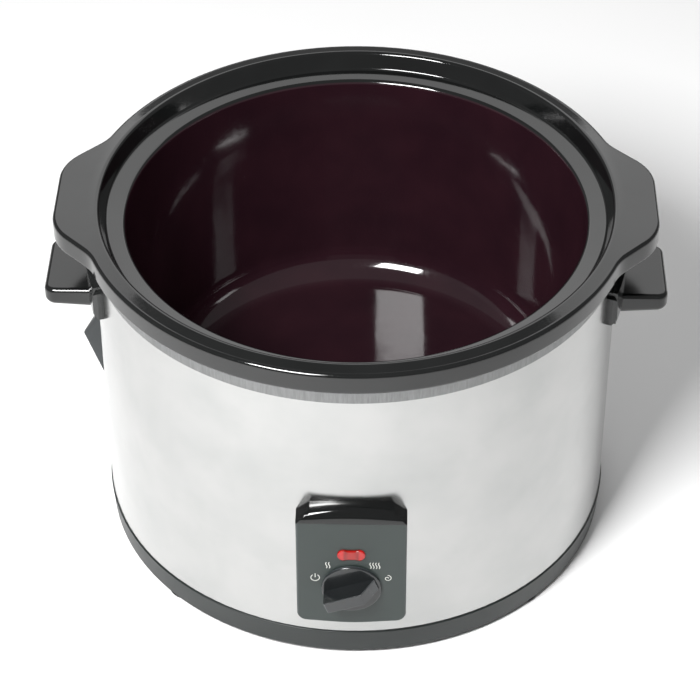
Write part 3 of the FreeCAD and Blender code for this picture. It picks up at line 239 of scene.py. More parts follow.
def mouldedPlastic(name, base, worn, roughness, grainDepth):
    mat, shader, coords = newMaterial(name, {"IOR": 1.5})
    flow = addNode(mat, "ShaderNodeTexNoise", {
        "Scale": 1 / (moulded["flowMm"] * mm), "Detail": 3.0}, {"Vector": coords})
    flowed = addNode(mat, "ShaderNodeMapRange", {"From Min": 0.3, "From Max": 0.75}, {
        "Value": flow.outputs["Fac"]})
    pale = tuple(part * moulded["flowPale"] for part in hexColor(base)[:3]) + (1,)
    body = addNode(mat, "ShaderNodeMix", {"data_type": "RGBA", 6: hexColor(base), 7: pale}, {
        0: flowed.outputs[0]})
    edge = addNode(mat, "ShaderNodeNewGeometry").outputs["Pointiness"]
    wear = addNode(mat, "ShaderNodeMapRange", {
        "From Min": moulded["wearFrom"], "From Max": moulded["wearTo"], "To Max": moulded["wearMost"]}, {
        "Value": edge})
    color = addNode(mat, "ShaderNodeMix", {"data_type": "RGBA", 7: hexColor(worn)}, {
        0: wear.outputs[0], 6: body.outputs[2]})
    rough = addNode(mat, "ShaderNodeMapRange", {
        "From Min": 0.3, "From Max": 0.75, "To Min": roughness,
        "To Max": roughness + moulded["flowRough"]}, {"Value": flow.outputs["Fac"]})
    grain = addNode(mat, "ShaderNodeTexNoise", {
        "Scale": 1 / (moulded["grainMm"] * mm), "Detail": 2.0}, {"Vector": coords})
    bump = addNode(mat, "ShaderNodeBump", {"Distance": grainDepth * mm, "Strength": 0.35}, {
        "Height": grain.outputs["Fac"]})
    feed(mat, shader, {
        "Base Color": color.outputs[2], "Roughness": rough.outputs[0], "Normal": bump.outputs["Normal"]})
    return mat


# two finishes on one moulding: the hood is polished in the tool, the face below it is grained
panelLook = {"face": "252d2b", "worn": "40464a", "faceRough": 0.42, "grain": 0.05, "hood": "0b0c0c",
             "hoodRough": 0.06, "seam": 0.2 * mm}


def panelPlastic():
    mat = mouldedPlastic("abs_moulded_grained_with_polished_hood", panelLook["face"], panelLook["worn"],
                         panelLook["faceRough"], panelLook["grain"])
    shader = mat.node_tree.nodes["Principled BSDF"]
    coords = addNode(mat, "ShaderNodeTexCoord").outputs["Object"]
    height = addNode(mat, "ShaderNodeSeparateXYZ", None, {"Vector": coords}).outputs["Z"]
    isHood = addNode(mat, "ShaderNodeMath", {
        "operation": "GREATER_THAN", 1: hoodLine - panelLook["seam"]}, {0: height}).outputs[0]
    faceColor = shader.inputs["Base Color"].links[0].from_socket
    faceRough = shader.inputs["Roughness"].links[0].from_socket
    color = addNode(mat, "ShaderNodeMix", {"data_type": "RGBA", 7: hexColor(panelLook["hood"])}, {
        0: isHood, 6: faceColor})
    rough = addNode(mat, "ShaderNodeMix", {"data_type": "FLOAT", 3: panelLook["hoodRough"]}, {
        0: isHood, 2: faceRough})
    # the grain stops at the hood
    isFace = addNode(mat, "ShaderNodeMath", {"operation": "SUBTRACT", 0: 1.0}, {1: isHood})
    grain = addNode(mat, "ShaderNodeTexNoise", {
        "Scale": 1 / (moulded["grainMm"] * mm), "Detail": 2.0}, {"Vector": coords})
    faceGrain = addNode(mat, "ShaderNodeMath", {"operation": "MULTIPLY"}, {
        0: grain.outputs["Fac"], 1: isFace.outputs[0]})
    bump = addNode(mat, "ShaderNodeBump", {"Distance": panelLook["grain"] * mm, "Strength": 0.35}, {
        "Height": faceGrain.outputs[0]})
    feed(mat, shader, {
        "Base Color": color.outputs[2], "Roughness": rough.outputs[0], "Normal": bump.outputs["Normal"]})
    return mat


# silicone and rubber: matt with a dusty bloom
rubberLook = {"dustMm": 6, "pitMm": 0.8, "pitDepth": 0.05 * mm, "dustRough": 0.15}


def rubberLike(name, base, bloom, roughness):
    mat, shader, coords = newMaterial(name, {"IOR": 1.45})
    dust = addNode(mat, "ShaderNodeTexNoise", {
        "Scale": 1 / (rubberLook["dustMm"] * mm), "Detail": 4.0, "Roughness": 0.65}, {"Vector": coords})
    dusty = addNode(mat, "ShaderNodeMapRange", {"From Min": 0.35, "From Max": 0.8}, {
        "Value": dust.outputs["Fac"]})
    color = addNode(mat, "ShaderNodeMix", {"data_type": "RGBA", 6: hexColor(base), 7: hexColor(bloom)}, {
        0: dusty.outputs[0]})
    rough = addNode(mat, "ShaderNodeMapRange", {
        "From Min": 0.3, "From Max": 0.8, "To Min": roughness,
        "To Max": roughness + rubberLook["dustRough"]}, {"Value": dust.outputs["Fac"]})
    pits = addNode(mat, "ShaderNodeTexNoise", {
        "Scale": 1 / (rubberLook["pitMm"] * mm), "Detail": 2.0}, {"Vector": coords})
    bump = addNode(mat, "ShaderNodeBump", {"Distance": rubberLook["pitDepth"], "Strength": 0.4}, {
        "Height": pits.outputs["Fac"]})
    feed(mat, shader, {
        "Base Color": color.outputs[2], "Roughness": rough.outputs[0], "Normal": bump.outputs["Normal"]})
    return mat


# plated or rolled metal, fired ceramic, moulded nylon and phenolic: a base tone with darker
# patches, a change of gloss and a light bump, all from one pattern
patchy = {
    "depth": 0.03 * mm,
    "metal": {"sockets": {"Metallic": 1.0}, "detail": 4.0, "noiseRough": 0.6, "addRough": 0.15},
    "dull": {"sockets": {"IOR": 1.5}, "detail": 3.0, "noiseRough": 0.5, "addRough": 0.1},
}


def patchedSolid(name, base, patch, patchMm, roughness, kind):
    settings = patchy[kind]
    mat, shader, coords = newMaterial(name, settings["sockets"])
    patches = addNode(mat, "ShaderNodeTexNoise", {
        "Scale": 1 / (patchMm * mm), "Detail": settings["detail"], "Roughness": settings["noiseRough"]}, {
        "Vector": coords})
    patched = addNode(mat, "ShaderNodeMapRange", {"From Min": 0.35, "From Max": 0.75}, {
        "Value": patches.outputs["Fac"]})
    color = addNode(mat, "ShaderNodeMix", {"data_type": "RGBA", 6: hexColor(base), 7: hexColor(patch)}, {
        0: patched.outputs[0]})
    rough = addNode(mat, "ShaderNodeMapRange", {
        "From Min": 0.3, "From Max": 0.8, "To Min": roughness,
        "To Max": roughness + settings["addRough"]}, {"Value": patches.outputs["Fac"]})
    bump = addNode(mat, "ShaderNodeBump", {"Distance": patchy["depth"], "Strength": 0.3}, {
        "Height": patches.outputs["Fac"]})
    feed(mat, shader, {
        "Base Color": color.outputs[2], "Roughness": rough.outputs[0], "Normal": bump.outputs["Normal"]})
    return mat


# clear red polycarbonate over a neon lamp, lit
lens = {
    "glow": "e01408", "glowStrength": 0.12, "halfWidth": 9 * mm, "swirlMm": 3.0, "swirlDepth": 0.05 * mm,
    # from the middle outwards, as shares of the half width
    "bands": ((0.2, "8a0c04"), (0.42, "600805"), (0.6, "a81410"), (1.0, "940e10")),
}


def redLens():
    mat, shader, coords = newMaterial("polycarbonate_clear_red", {
        "IOR": 1.58, "Transmission Weight": 0.2, "Emission Color": hexColor(lens["glow"]),
        "Emission Strength": lens["glowStrength"]})
    across = addNode(mat, "ShaderNodeSeparateXYZ", None, {"Vector": coords}).outputs["X"]
    offset = addNode(mat, "ShaderNodeMath", {"operation": "ABSOLUTE"}, {0: across})
    share = addNode(mat, "ShaderNodeMath", {"operation": "DIVIDE", 1: lens["halfWidth"]}, {
        0: offset.outputs[0]})
    bands = addNode(mat, "ShaderNodeValToRGB", None, {"Fac": share.outputs[0]})
    elements = bands.color_ramp.elements
    while len(elements) < len(lens["bands"]):
        elements.new(0.5)
    for element, (position, tone) in zip(elements, lens["bands"]):
        element.position = position
        element.color = hexColor(tone)
    swirl = addNode(mat, "ShaderNodeTexNoise", {
        "Scale": 1 / (lens["swirlMm"] * mm), "Detail": 2.0}, {"Vector": coords})
    rough = addNode(mat, "ShaderNodeMapRange", {
        "From Min": 0.3, "From Max": 0.8, "To Min": 0.08, "To Max": 0.16}, {"Value": swirl.outputs["Fac"]})
    bump = addNode(mat, "ShaderNodeBump", {"Distance": lens["swirlDepth"], "Strength": 0.2}, {
        "Height": swirl.outputs["Fac"]})
    feed(mat, shader, {
        "Base Color": bands.outputs["Color"], "Roughness": rough.outputs[0],
        "Normal": bump.outputs["Normal"]})
    return mat


# clear glass bulb with the neon glow in it
bulb = {"glow": "ff5a1e", "glowStrength": 0.6, "warm": "ff9a5a", "pale": "ffb47a", "swirlMm": 2.5,
        "swirlDepth": 0.02 * mm}


def lampGlass():
    mat, shader, coords = newMaterial("soda_glass_lamp_bulb", {
        "IOR": 1.5, "Transmission Weight": 0.7, "Emission Color": hexColor(bulb["glow"]),
        "Emission Strength": bulb["glowStrength"]})
    swirl = addNode(mat, "ShaderNodeTexNoise", {
        "Scale": 1 / (bulb["swirlMm"] * mm), "Detail": 2.0}, {"Vector": coords})
    swirled = addNode(mat, "ShaderNodeMapRange", {"From Min": 0.3, "From Max": 0.8}, {
        "Value": swirl.outputs["Fac"]})
    color = addNode(mat, "ShaderNodeMix", {
        "data_type": "RGBA", 6: hexColor(bulb["warm"]), 7: hexColor(bulb["pale"])}, {
        0: swirled.outputs[0]})
    rough = addNode(mat, "ShaderNodeMapRange", {
        "From Min": 0.3, "From Max": 0.8, "To Min": 0.03, "To Max": 0.08}, {"Value": swirl.outputs["Fac"]})
    bump = addNode(mat, "ShaderNodeBump", {"Distance": bulb["swirlDepth"], "Strength": 0.2}, {
        "Height": swirl.outputs["Fac"]})
    feed(mat, shader, {
        "Base Color": color.outputs[2], "Roughness": rough.outputs[0], "Normal": bump.outputs["Normal"]})
    return mat


assign(polishedSteel(), "outer_shell")
assign(mouldedPlastic("polypropylene_moulded_dark", "0d1413", "262d2c", 0.42, 0.06), "base_ring")
handleAbs = mouldedPlastic("abs_moulded_gloss_black", "0c0d0d", "2a2b2b", 0.11, 0.015)
assign(handleAbs, "left_handle", "right_handle")
knobAbs = mouldedPlastic("abs_moulded_gloss_black_knob", "17191a", "4a4f52", 0.14, 0.015)
# the knob keeps the wax shine of its buffed skirt
knobAbs.node_tree.nodes["Principled BSDF"].inputs["Coat Weight"].default_value = 0.3
knobAbs.node_tree.nodes["Principled BSDF"].inputs["Coat Roughness"].default_value = 0.06
assign(knobAbs, "control_knob")
assign(mouldedPlastic("polyamide_moulded_black", "24282a", "3a3e3e", 0.38, 0.06), "cord_outlet")
assign(rubberLike("rubber_moulded_black", "0e0f0f", "2a2b2a", 0.7), "rubber_feet", "cord_gland")
zinc = patchedSolid("steel_zinc_plated", "c9cdd0", "a9aeb2", 5, 0.3, "metal")
assign(zinc, "tie_screws", "tie_posts", "heater_straps", "strap_screws", "cutout_screws", "fuse_clip")
assign(zinc, "fuse_screw", "block_screws", "clamp_screws", "outlet_screws", "handle_screws")
assign(zinc, "handle_washers", "panel_screws", "switch_screws", "switch_spindle", "knob_spring")
galvanised = patchedSolid("steel_sheet_galvanised_spangled", "b9bdbf", "8f9496", 9, 0.35, "metal")
assign(galvanised, "bottom_plate")
assign(patchedSolid("aluminium_sheet_rolled", "dcdddd", "c4c6c7", 12, 0.3, "metal"), "heat_shield")
assign(patchedSolid("steel_sheath_heat_tinted", "9a8f7c", "6e6a6e", 14, 0.4, "metal"), "heater_band")
assign(patchedSolid("tin_plated_can", "d3d3cf", "b9b9b4", 3, 0.2, "metal"), "thermal_fuse")
brass = patchedSolid("brass_turned_bright", "d9b36a", "b98f4a", 2, 0.25, "metal")
assign(brass, "terminal_screws", "earth_screw")
steatite = patchedSolid("steatite_fired_unglazed", "ece6d8", "ddd6c6", 2.5, 0.6, "dull")
assign(steatite, "terminal_block", "thermal_cutout")
nylon = patchedSolid("polyamide_natural_moulded", "e6e2d6", "d8d3c4", 8, 0.4, "dull")
assign(nylon, "cord_clamp", "lamp_holder")
phenolic = patchedSolid("phenolic_moulded_black", "191817", "282624", 1.5, 0.5, "dull")
assign(phenolic, "switch_body", "switch_cover")
leadColors = {
    "low_heat_lead": ("8f1a14", "a8302a"), "high_heat_lead": ("141414", "262626"),
    "switch_lead": ("141414", "262626"), "supply_lead": ("141414", "262626"),
    "fuse_lead": ("141414", "262626"), "neutral_lead": ("17408f", "2a56a8"),
    "earth_lead": ("5f8f1e", "78a832"),
}
for node, (base, bloom) in leadColors.items():
    assign(rubberLike("silicone_sleeving_" + node, base, bloom, 0.5), node)
assign(redLens(), "lamp_lens")
assign(lampGlass(), "neon_lamp")
print("materials on the frame")


# ---- smooth turned and rolled pieces that stand for CAD nodes
def newPiece(name, bm, mat, body, node):
    # turns the finished bmesh into a piece that stands for the CAD node
    bmesh.ops.recalc_face_normals(bm, faces=bm.faces)
    mesh = bpy.data.meshes.new(name)
    bm.to_mesh(mesh)
    bm.free()
    mesh.shade_smooth()
    mesh.set_sharp_from_angle(angle=math.radians(32))
    mesh.materials.append(mat)
    piece = bpy.data.objects.new(name, mesh)
    bpy.context.collection.objects.link(piece)
    # flat faces keep their own normals beside the rounded edges
    weighted = piece.modifiers.new("weighted_normals", "WEIGHTED_NORMAL")
    weighted.weight = 100
    weighted.keep_sharp = True
    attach(piece, body)
    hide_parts(node)
    return piece


def spinProfile(corners, steps):
    # corners: (radius, height) round a closed section; a full turn about Z
    bm = bmesh.new()
    ring = [bm.verts.new((radius, 0, height)) for radius, height in corners]
    edges = [bm.edges.new((ring[i], ring[i + 1])) for i in range(len(ring) - 1)]
    if corners[0][0] > 0:
        edges.append(bm.edges.new((ring[-1], ring[0])))
    bmesh.ops.spin(bm, geom=ring + edges, cent=(0, 0, 0), axis=(0, 0, 1), dvec=(0, 0, 0),
                   angle=math.tau, steps=steps, use_merge=True, use_duplicate=False)
    bmesh.ops.remove_doubles(bm, verts=bm.verts, dist=0.001 * mm)
    return bm


def circleAt(radius, height):
    # a test for points on one circle about Z
    return lambda co: abs(co.xy.length - radius) < near and abs(co.z - height) < near


def rimEdgeAt(height):
    # a test for points on the rim's outline, lugs included
    return lambda co: co.xy.length > rimRadius - near and abs(co.z - height) < near


def roundRing(bm, isOnRing, width, segments):
    # rounds the circle of edges whose two ends pass the test
    edges = [edge for edge in bm.edges if all(isOnRing(v.co) for v in edge.verts)]
    bmesh.ops.bevel(bm, geom=edges, offset=width, offset_type="OFFSET", affect="EDGES", segments=segments,
                    profile=0.5, material=-1, clamp_overlap=True)


# crock: hangs by its rim; two lugs grow out of the rim
crock = {
    "steps": 320, "rimThick": 14.3 * mm, "lipRise": 1.6 * mm, "lipWidth": 10.8 * mm, "lipLean": 4.4 * mm,
    "rimJoint": 3.1 * mm, "ledgeWidth": 12.0 * mm, "ledgeDrop": 11.1 * mm, "ledgeFall": 1.6 * mm,
    "edgeRound": 2.4 * mm, "floor": 8.3 * mm, "taper": 12.6 * mm, "outerCorner": 26 * mm,
    "innerCorner": 20 * mm, "rimToWall": 19.4 * mm, "lipRound": 2.16 * mm, "ledgeOutRound": 1.3 * mm,
    "ledgeInRound": 2.6 * mm, "underRound": 2.6 * mm, "lipCrown": 0.37 * mm,
    "lugHalf": 33.2 * mm, "lugFlank": 45, "lugCorner": 34 * mm, "lugBlend": 30 * mm,
}


def lugPlan(across, along):
    # distance from the axis to the rim's outline in a direction given by its two cosines
    flank = math.radians(crock["lugFlank"])
    normal = Vector((math.cos(flank), math.sin(flank)))
    ray = Vector((abs(across), abs(along)))
    reach = lugRadius * normal.x + crock["lugHalf"] * normal.y
    corner = crock["lugCorner"]
    blend = crock["lugBlend"]
    cornerX = lugRadius - corner
    cornerCentre = Vector((cornerX, (reach - corner - cornerX * normal.x) / normal.y))
    slide = math.sqrt((rimRadius + blend) ** 2 - (reach + blend) ** 2)
    blendCentre = normal * (reach + blend) + Vector((normal.y, -normal.x)) * slide
    onRim = blendCentre * (rimRadius / (rimRadius + blend))
    onFlank = blendCentre - normal * blend
    cornerEnd = cornerCentre + normal * corner
    angle = math.atan2(ray.y, ray.x)
    if angle >= math.atan2(onRim.y, onRim.x):
        return rimRadius
    if angle >= math.atan2(onFlank.y, onFlank.x):
        side = ray.dot(blendCentre)
        return side - math.sqrt(side ** 2 - blendCentre.length_squared + blend ** 2)
    if angle >= math.atan2(cornerEnd.y, cornerEnd.x):
        return reach / ray.dot(normal)
    if angle >= math.atan2(cornerCentre.y, lugRadius):
        side = ray.dot(cornerCentre)
        return side + math.sqrt(side ** 2 - cornerCentre.length_squared + corner ** 2)
    return lugRadius / ray.x


def makeCrock(mat):
    lipTop = rimTop + crock["lipCrown"]      # before its edge is rounded
    top = lipTop - crock["lipRise"]
    under = top - crock["rimThick"]
    lip = rimRadius - crock["lipWidth"]
    ledgeOut = lip - crock["lipLean"]
    ledgeIn = ledgeOut - crock["ledgeWidth"]
    ledgeZ = lipTop - crock["ledgeDrop"]
    wallOut = rimRadius - crock["rimToWall"]
    floorZ = low("crock").z
    bm = spinProfile([
        (0, floorZ),
        (wallOut - crock["taper"], floorZ),
        (wallOut, under),
        (rimRadius, under),
        (rimRadius, top),
        (rimRadius - crock["rimJoint"], top),
        (lip, lipTop),
        (ledgeOut, ledgeZ),
        (ledgeIn, ledgeZ - crock["ledgeFall"]),
        (ledgeIn - crock["taper"], floorZ + crock["floor"]),
        (0, floorZ + crock["floor"]),
    ], crock["steps"])
    for vert in bm.verts:
        radius = vert.co.xy.length
        if radius > rimRadius - near:
            planRadius = lugPlan(vert.co.x / radius, vert.co.y / radius)
            vert.co.xy *= planRadius / radius
    roundRing(bm, rimEdgeAt(top), crock["edgeRound"], 5)
    roundRing(bm, rimEdgeAt(under), crock["edgeRound"], 5)
    roundRing(bm, circleAt(lip, lipTop), crock["lipRound"], 5)
    roundRing(bm, circleAt(ledgeOut, ledgeZ), crock["ledgeOutRound"], 4)
    roundRing(bm, circleAt(ledgeIn, ledgeZ - crock["ledgeFall"]), crock["ledgeInRound"], 5)
    roundRing(bm, circleAt(wallOut, under), crock["underRound"], 4)
    roundRing(bm, circleAt(ledgeIn - crock["taper"], floorZ + crock["floor"]), crock["innerCorner"], 12)
    roundRing(bm, circleAt(wallOut - crock["taper"], floorZ), crock["outerCorner"], 10)
    return newPiece("crock_smooth", bm, mat, "crock", "crock")


# pan: only its rolled flange shows, between the crock's rim and the shell
pan = {
    "steps": 320, "sheet": 0.8 * mm, "roll": 5.0 * mm, "fromShell": 10.5 * mm, "corner": 26 * mm,
    "skirtDrop": 10.7 * mm, "mouthRound": 3 * mm,
}


def makePan(mat):
    outer = high("heating_pan").x
    top = high("heating_pan").z
    floorZ = low("heating_pan").z
    skirtZ = shellTop - pan["skirtDrop"]
    inner = shellRadius - pan["fromShell"]
    sheet = pan["sheet"]
    bm = spinProfile([
        (0, floorZ), (inner + sheet, floorZ), (inner + sheet, top - sheet), (outer - sheet, top - sheet),
        (outer - sheet, skirtZ), (outer, skirtZ), (outer, top), (inner, top), (inner, floorZ + sheet),
        (0, floorZ + sheet),
    ], pan["steps"])
    roundRing(bm, circleAt(outer, top), pan["roll"], 6)
    roundRing(bm, circleAt(outer - sheet, top - sheet), pan["roll"] - sheet, 6)
    roundRing(bm, circleAt(inner, top), pan["mouthRound"], 4)
    roundRing(bm, circleAt(inner + sheet, top - sheet), pan["mouthRound"] - sheet, 4)
    roundRing(bm, circleAt(inner, floorZ + sheet), pan["corner"] - sheet, 8)
    roundRing(bm, circleAt(inner + sheet, floorZ), pan["corner"], 8)
    return newPiece("heating_pan_smooth", bm, mat, "housing", "heating_pan")


# panel: the CAD moulding below the hood line, and above it a hood rolled back to the shell
hood = {
    "proud": 0.9 * mm, "lip": 1.6 * mm, "roll": 8.6 * mm, "bow": 3.6 * mm, "cut": 6.5 * mm, "slices": 24,
    "intoShell": 4 * mm, "lipRound": 0.4 * mm, "overlap": 0.3 * mm,
}


def makePanel(mat):
    top = high("control_panel").z
    half = high("control_panel").x
    front = panelFace - hood["proud"]
    back = hood["intoShell"] - shellRadius
    bm = bmesh.new()
    bmesh.ops.create_cube(bm, size=1)
    bmesh.ops.scale(bm, vec=(2 * half, back - front, hoodHeight), verts=bm.verts)
    bmesh.ops.translate(bm, vec=(0, (front + back) / 2, top - hoodHeight / 2), verts=bm.verts)
    isFront = lambda edge: all(v.co.y < front + 0.1 * mm for v in edge.verts)
    upper = [e for e in bm.edges if isFront(e) and all(v.co.z > top - 0.1 * mm for v in e.verts)]
    bmesh.ops.bevel(bm, geom=upper, offset=hood["roll"], offset_type="OFFSET", affect="EDGES", segments=14,
                    profile=0.5, material=-1, clamp_overlap=True)
    for index in range(1, hood["slices"]):
        place = -half + 2 * half * index / hood["slices"]
        bmesh.ops.bisect_plane(bm, geom=bm.verts[:] + bm.edges[:] + bm.faces[:], plane_co=(place, 0, 0),
                               plane_no=(1, 0, 0), dist=0.001 * mm)
    lipZ = hoodLine + hood["lip"]
    for vert in bm.verts:
        if vert.co.z > lipZ:
            share = (vert.co.z - lipZ) / (top - lipZ)
            vert.co.z -= hood["bow"] * (vert.co.x / half) ** 2 * share
    for side in (-1, 1):
        cut = bmesh.ops.bisect_plane(bm, geom=bm.verts[:] + bm.edges[:] + bm.faces[:], dist=0.001 * mm,
                                     plane_co=(side * half, 0, top - hood["bow"] - hood["cut"]),
                                     plane_no=(side, 0, 1), clear_outer=True)
        rim = [g for g in cut["geom_cut"] if isinstance(g, bmesh.types.BMEdge)]
        bmesh.ops.contextual_create(bm, geom=rim)
    lipEdges = [e for e in bm.edges if isFront(e) and all(v.co.z < hoodLine + 0.1 * mm for v in e.verts)]
    bmesh.ops.bevel(bm, geom=lipEdges, offset=hood["lipRound"], offset_type="OFFSET", affect="EDGES",
                    segments=3, profile=0.5, material=-1, clamp_overlap=True)
    lower = bmesh.new()
    lower.from_mesh(frame["nodes"]["control_panel"].data)
    bmesh.ops.remove_doubles(lower, verts=lower.verts, dist=0.001 * mm)
    bmesh.ops.bisect_plane(lower, geom=lower.verts[:] + lower.edges[:] + lower.faces[:], dist=0.001 * mm,
                           plane_co=(0, 0, hoodLine + hood["overlap"]), plane_no=(0, 0, 1), clear_outer=True)
    moulding = bpy.data.meshes.new("panel_lower")
    lower.to_mesh(moulding)
    lower.free()
    bm.from_mesh(moulding)
    bpy.data.meshes.remove(moulding)
    return newPiece("control_panel_rolled", bm, mat, "housing", "control_panel")


makeCrock(glazedStoneware())
makePan(satinSteelWithPaintedShade())
makePanel(panelPlastic())
print("crock, pan and panel rebuilt")


# ---- printed symbols on the panel, in screen-printing ink
symbols = {
    "stroke": 0.42 * mm, "ring": 23.3 * mm, "inkLift": 0.06 * mm, "inkHeight": 0.04 * mm,
    "powerAngle": -70, "lowAngle": -37.5, "highAngle": 37.5, "autoAngle": 70,
    "dialRadius": 2.6 * mm, "waveHeight": 5.0 * mm, "waveSwing": 0.42 * mm, "waveGap": 1.75 * mm,
    "waveSteps": 16, "spiralSteps": 34, "spiralTurn": 0.24, "spiralShrink": 40,
    "ink": "dfe0da", "inkShade": "c9cac4", "speckleMm": 0.5, "speckleDepth": 0.01 * mm,
}


def screenInk():
    mat, shader, coords = newMaterial("epoxy_ink_screen_printed_cream", {})
    speckle = addNode(mat, "ShaderNodeTexNoise", {
        "Scale": 1 / (symbols["speckleMm"] * mm), "Detail": 2.0}, {"Vector": coords})
    speckled = addNode(mat, "ShaderNodeMapRange", {"From Min": 0.3, "From Max": 0.8}, {
        "Value": speckle.outputs["Fac"]})
    color = addNode(mat, "ShaderNodeMix", {
        "data_type": "RGBA", 6: hexColor(symbols["ink"]), 7: hexColor(symbols["inkShade"])}, {
        0: speckled.outputs[0]})
    rough = addNode(mat, "ShaderNodeMapRange", {
        "From Min": 0.3, "From Max": 0.8, "To Min": 0.45, "To Max": 0.6}, {"Value": speckle.outputs["Fac"]})
    bump = addNode(mat, "ShaderNodeBump", {"Distance": symbols["speckleDepth"], "Strength": 0.3}, {
        "Height": speckle.outputs["Fac"]})
    feed(mat, shader, {
        "Base Color": color.outputs[2], "Roughness": rough.outputs[0], "Normal": bump.outputs["Normal"]})
    return mat


ink = screenInk()


def printStroke(name, points, closed=False):
    # points are (x, z) on the panel's face; the stroke is a flattened round line
    curve = bpy.data.curves.new(name, "CURVE")
    curve.dimensions = "3D"
    curve.bevel_depth = symbols["stroke"] / 2
    curve.bevel_resolution = 2
    curve.use_fill_caps = True
    spline = curve.splines.new("POLY")
    spline.points.add(len(points) - 1)
    for point, (x, z) in zip(spline.points, points):
        point.co = (x, 0, z, 1)
    spline.use_cyclic_u = closed
    holder = bpy.data.objects.new(name + "_line", curve)
    bpy.context.collection.objects.link(holder)
    bpy.context.view_layer.update()
    mesh = bpy.data.meshes.new_from_object(holder.evaluated_get(bpy.context.evaluated_depsgraph_get()))
    bpy.data.objects.remove(holder)
    flatten = Matrix.Diagonal((1, symbols["inkHeight"] / symbols["stroke"], 1, 1))
    mesh.transform(Matrix.Translation((0, panelFace - symbols["inkLift"] / 2, 0)) @ flatten)
    return mesh


def printSymbol(name, strokes):
    # joins the strokes of one symbol into one piece
    bm = bmesh.new()
    for index, (points, closed) in enumerate(strokes):
        mesh = printStroke(f"{name}_{index}", points, closed)
        bm.from_mesh(mesh)
        bpy.data.meshes.remove(mesh)
    mesh = bpy.data.meshes.new(name)
    bm.to_mesh(mesh)
    bm.free()
    piece = bpy.data.objects.new(name, mesh)
    bpy.context.collection.objects.link(piece)
    mesh.materials.append(ink)
    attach(piece, "housing")
    return piece


def arcPoints(centre, radius, start, end, count):
    # angles in degrees, clockwise from the top
    points = []
    for step in range(count + 1):
        angle = math.radians(start + (end - start) * step / count)
        points.append((centre[0] + radius * math.sin(angle), centre[1] + radius * math.cos(angle)))
    return points


def symbolCentre(angle):
    turn = math.radians(angle)
    return (symbols["ring"] * math.sin(turn), knobAxis.z + symbols["ring"] * math.cos(turn))


def waveStrokes(angle, count):
    centreX, centreZ = symbolCentre(angle)
    strokes = []
    for index in range(count):
        x = centreX + (index - (count - 1) / 2) * symbols["waveGap"]
        points = []
        for step in range(symbols["waveSteps"] + 1):
            t = step / symbols["waveSteps"]
            swing = math.sin(t * math.tau) * symbols["waveSwing"]
            points.append((x + swing, centreZ + (t - 0.5) * symbols["waveHeight"]))
        strokes.append((points, False))
    return strokes


powerCentre = symbolCentre(symbols["powerAngle"])
dial = symbols["dialRadius"]
powerBar = [(powerCentre[0], powerCentre[1] + dial * 0.1), (powerCentre[0], powerCentre[1] + dial * 1.35)]
printSymbol("symbol_power", [(arcPoints(powerCentre, dial, 32, 328, 28), False), (powerBar, False)])
printSymbol("symbol_low", waveStrokes(symbols["lowAngle"], 2))
printSymbol("symbol_high", waveStrokes(symbols["highAngle"], 4))
autoCentre = symbolCentre(symbols["autoAngle"])
inward = []
for step in range(symbols["spiralSteps"]):
    reach = dial * (1 - step / symbols["spiralShrink"])
    turn = step * symbols["spiralTurn"]
    inward.append((autoCentre[0] + reach * math.sin(turn), autoCentre[1] + reach * math.cos(turn)))
printSymbol("symbol_auto", [(inward, False)])
print("symbols printed")


# ---- floor, light and camera
studio = {
    "floorHalf": 6.0, "floor": "f7f7f7", "floorShade": "f3f3f3", "toneMm": 300, "world": 0.27,
    "keyPlace": (-0.45, -0.82, 1.15), "keySize": (0.48, 0.42), "keyPower": 34,
    "backPlace": (0.2, 2.2, 1.9), "backSize": (3.2, 1.6), "backPower": 24,
    "sidePlace": (-1.6, 0.1, 0.9), "sideSize": (1.2, 1.2), "sidePower": 0.3,
    "lens": 132.5, "distance": 1.666, "elevation": 40.06, "turn": 1.0, "targetZ": 0.1119, "shiftX": -0.009,
}


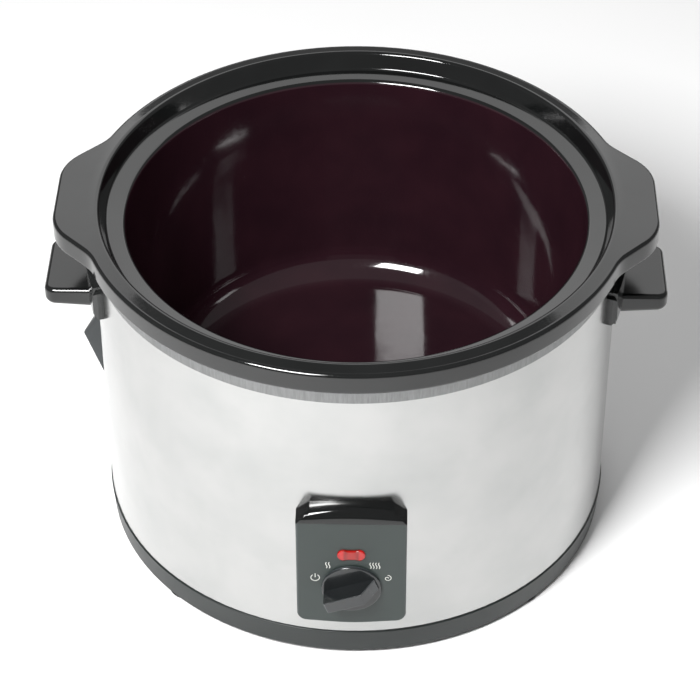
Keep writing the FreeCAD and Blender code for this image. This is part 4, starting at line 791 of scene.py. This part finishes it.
def makeFloor():
    bm = bmesh.new()
    bmesh.ops.create_grid(bm, x_segments=1, y_segments=1, size=studio["floorHalf"])
    mesh = bpy.data.meshes.new("floor")
    bm.to_mesh(mesh)
    bm.free()
    floor = bpy.data.objects.new("floor", mesh)
    bpy.context.collection.objects.link(floor)
    mat, shader, coords = newMaterial("paper_sweep_white", {"Roughness": 0.9})
    tone = addNode(mat, "ShaderNodeTexNoise", {
        "Scale": 1 / (studio["toneMm"] * mm), "Detail": 2.0}, {"Vector": coords})
    toned = addNode(mat, "ShaderNodeMapRange", {"From Min": 0.3, "From Max": 0.8}, {
        "Value": tone.outputs["Fac"]})
    color = addNode(mat, "ShaderNodeMix", {
        "data_type": "RGBA", 6: hexColor(studio["floor"]), 7: hexColor(studio["floorShade"])}, {
        0: toned.outputs[0]})
    feed(mat, shader, {"Base Color": color.outputs[2]})
    mesh.materials.append(mat)


def softbox(name, place, size, power, target=(0, 0, 0.1)):
    lamp = bpy.data.lights.new(name, "AREA")
    lamp.shape = "RECTANGLE"
    lamp.size, lamp.size_y = size
    lamp.energy = power
    holder = bpy.data.objects.new(name, lamp)
    holder.location = place
    aim = Vector(target) - Vector(place)
    holder.rotation_euler = aim.to_track_quat("-Z", "Y").to_euler()
    bpy.context.collection.objects.link(holder)


def makeCamera():
    lens = bpy.data.cameras.new("camera")
    lens.lens = studio["lens"]
    lens.sensor_width = 36
    lens.shift_x = studio["shiftX"]
    lens.clip_end = 50
    camera = bpy.data.objects.new("camera", lens)
    elevation = math.radians(studio["elevation"])
    turn = math.radians(studio["turn"])
    target = Vector((0, 0, studio["targetZ"]))
    level = math.cos(elevation)
    away = Vector((level * math.sin(turn), -level * math.cos(turn), math.sin(elevation)))
    camera.location = target + away * studio["distance"]
    camera.rotation_euler = (-away).to_track_quat("-Z", "Y").to_euler()
    bpy.context.collection.objects.link(camera)
    bpy.context.scene.camera = camera


makeFloor()
softbox("key", studio["keyPlace"], studio["keySize"], studio["keyPower"])
softbox("back", studio["backPlace"], studio["backSize"], studio["backPower"])
softbox("side", studio["sidePlace"], studio["sideSize"], studio["sidePower"])
world = bpy.data.worlds.new("studio")
world.use_nodes = True
world.node_tree.nodes["Background"].inputs["Color"].default_value = (1, 1, 1, 1)
world.node_tree.nodes["Background"].inputs["Strength"].default_value = studio["world"]
bpy.context.scene.world = world
bpy.context.scene.view_settings.view_transform = "Standard"
makeCamera()
print("studio ready")
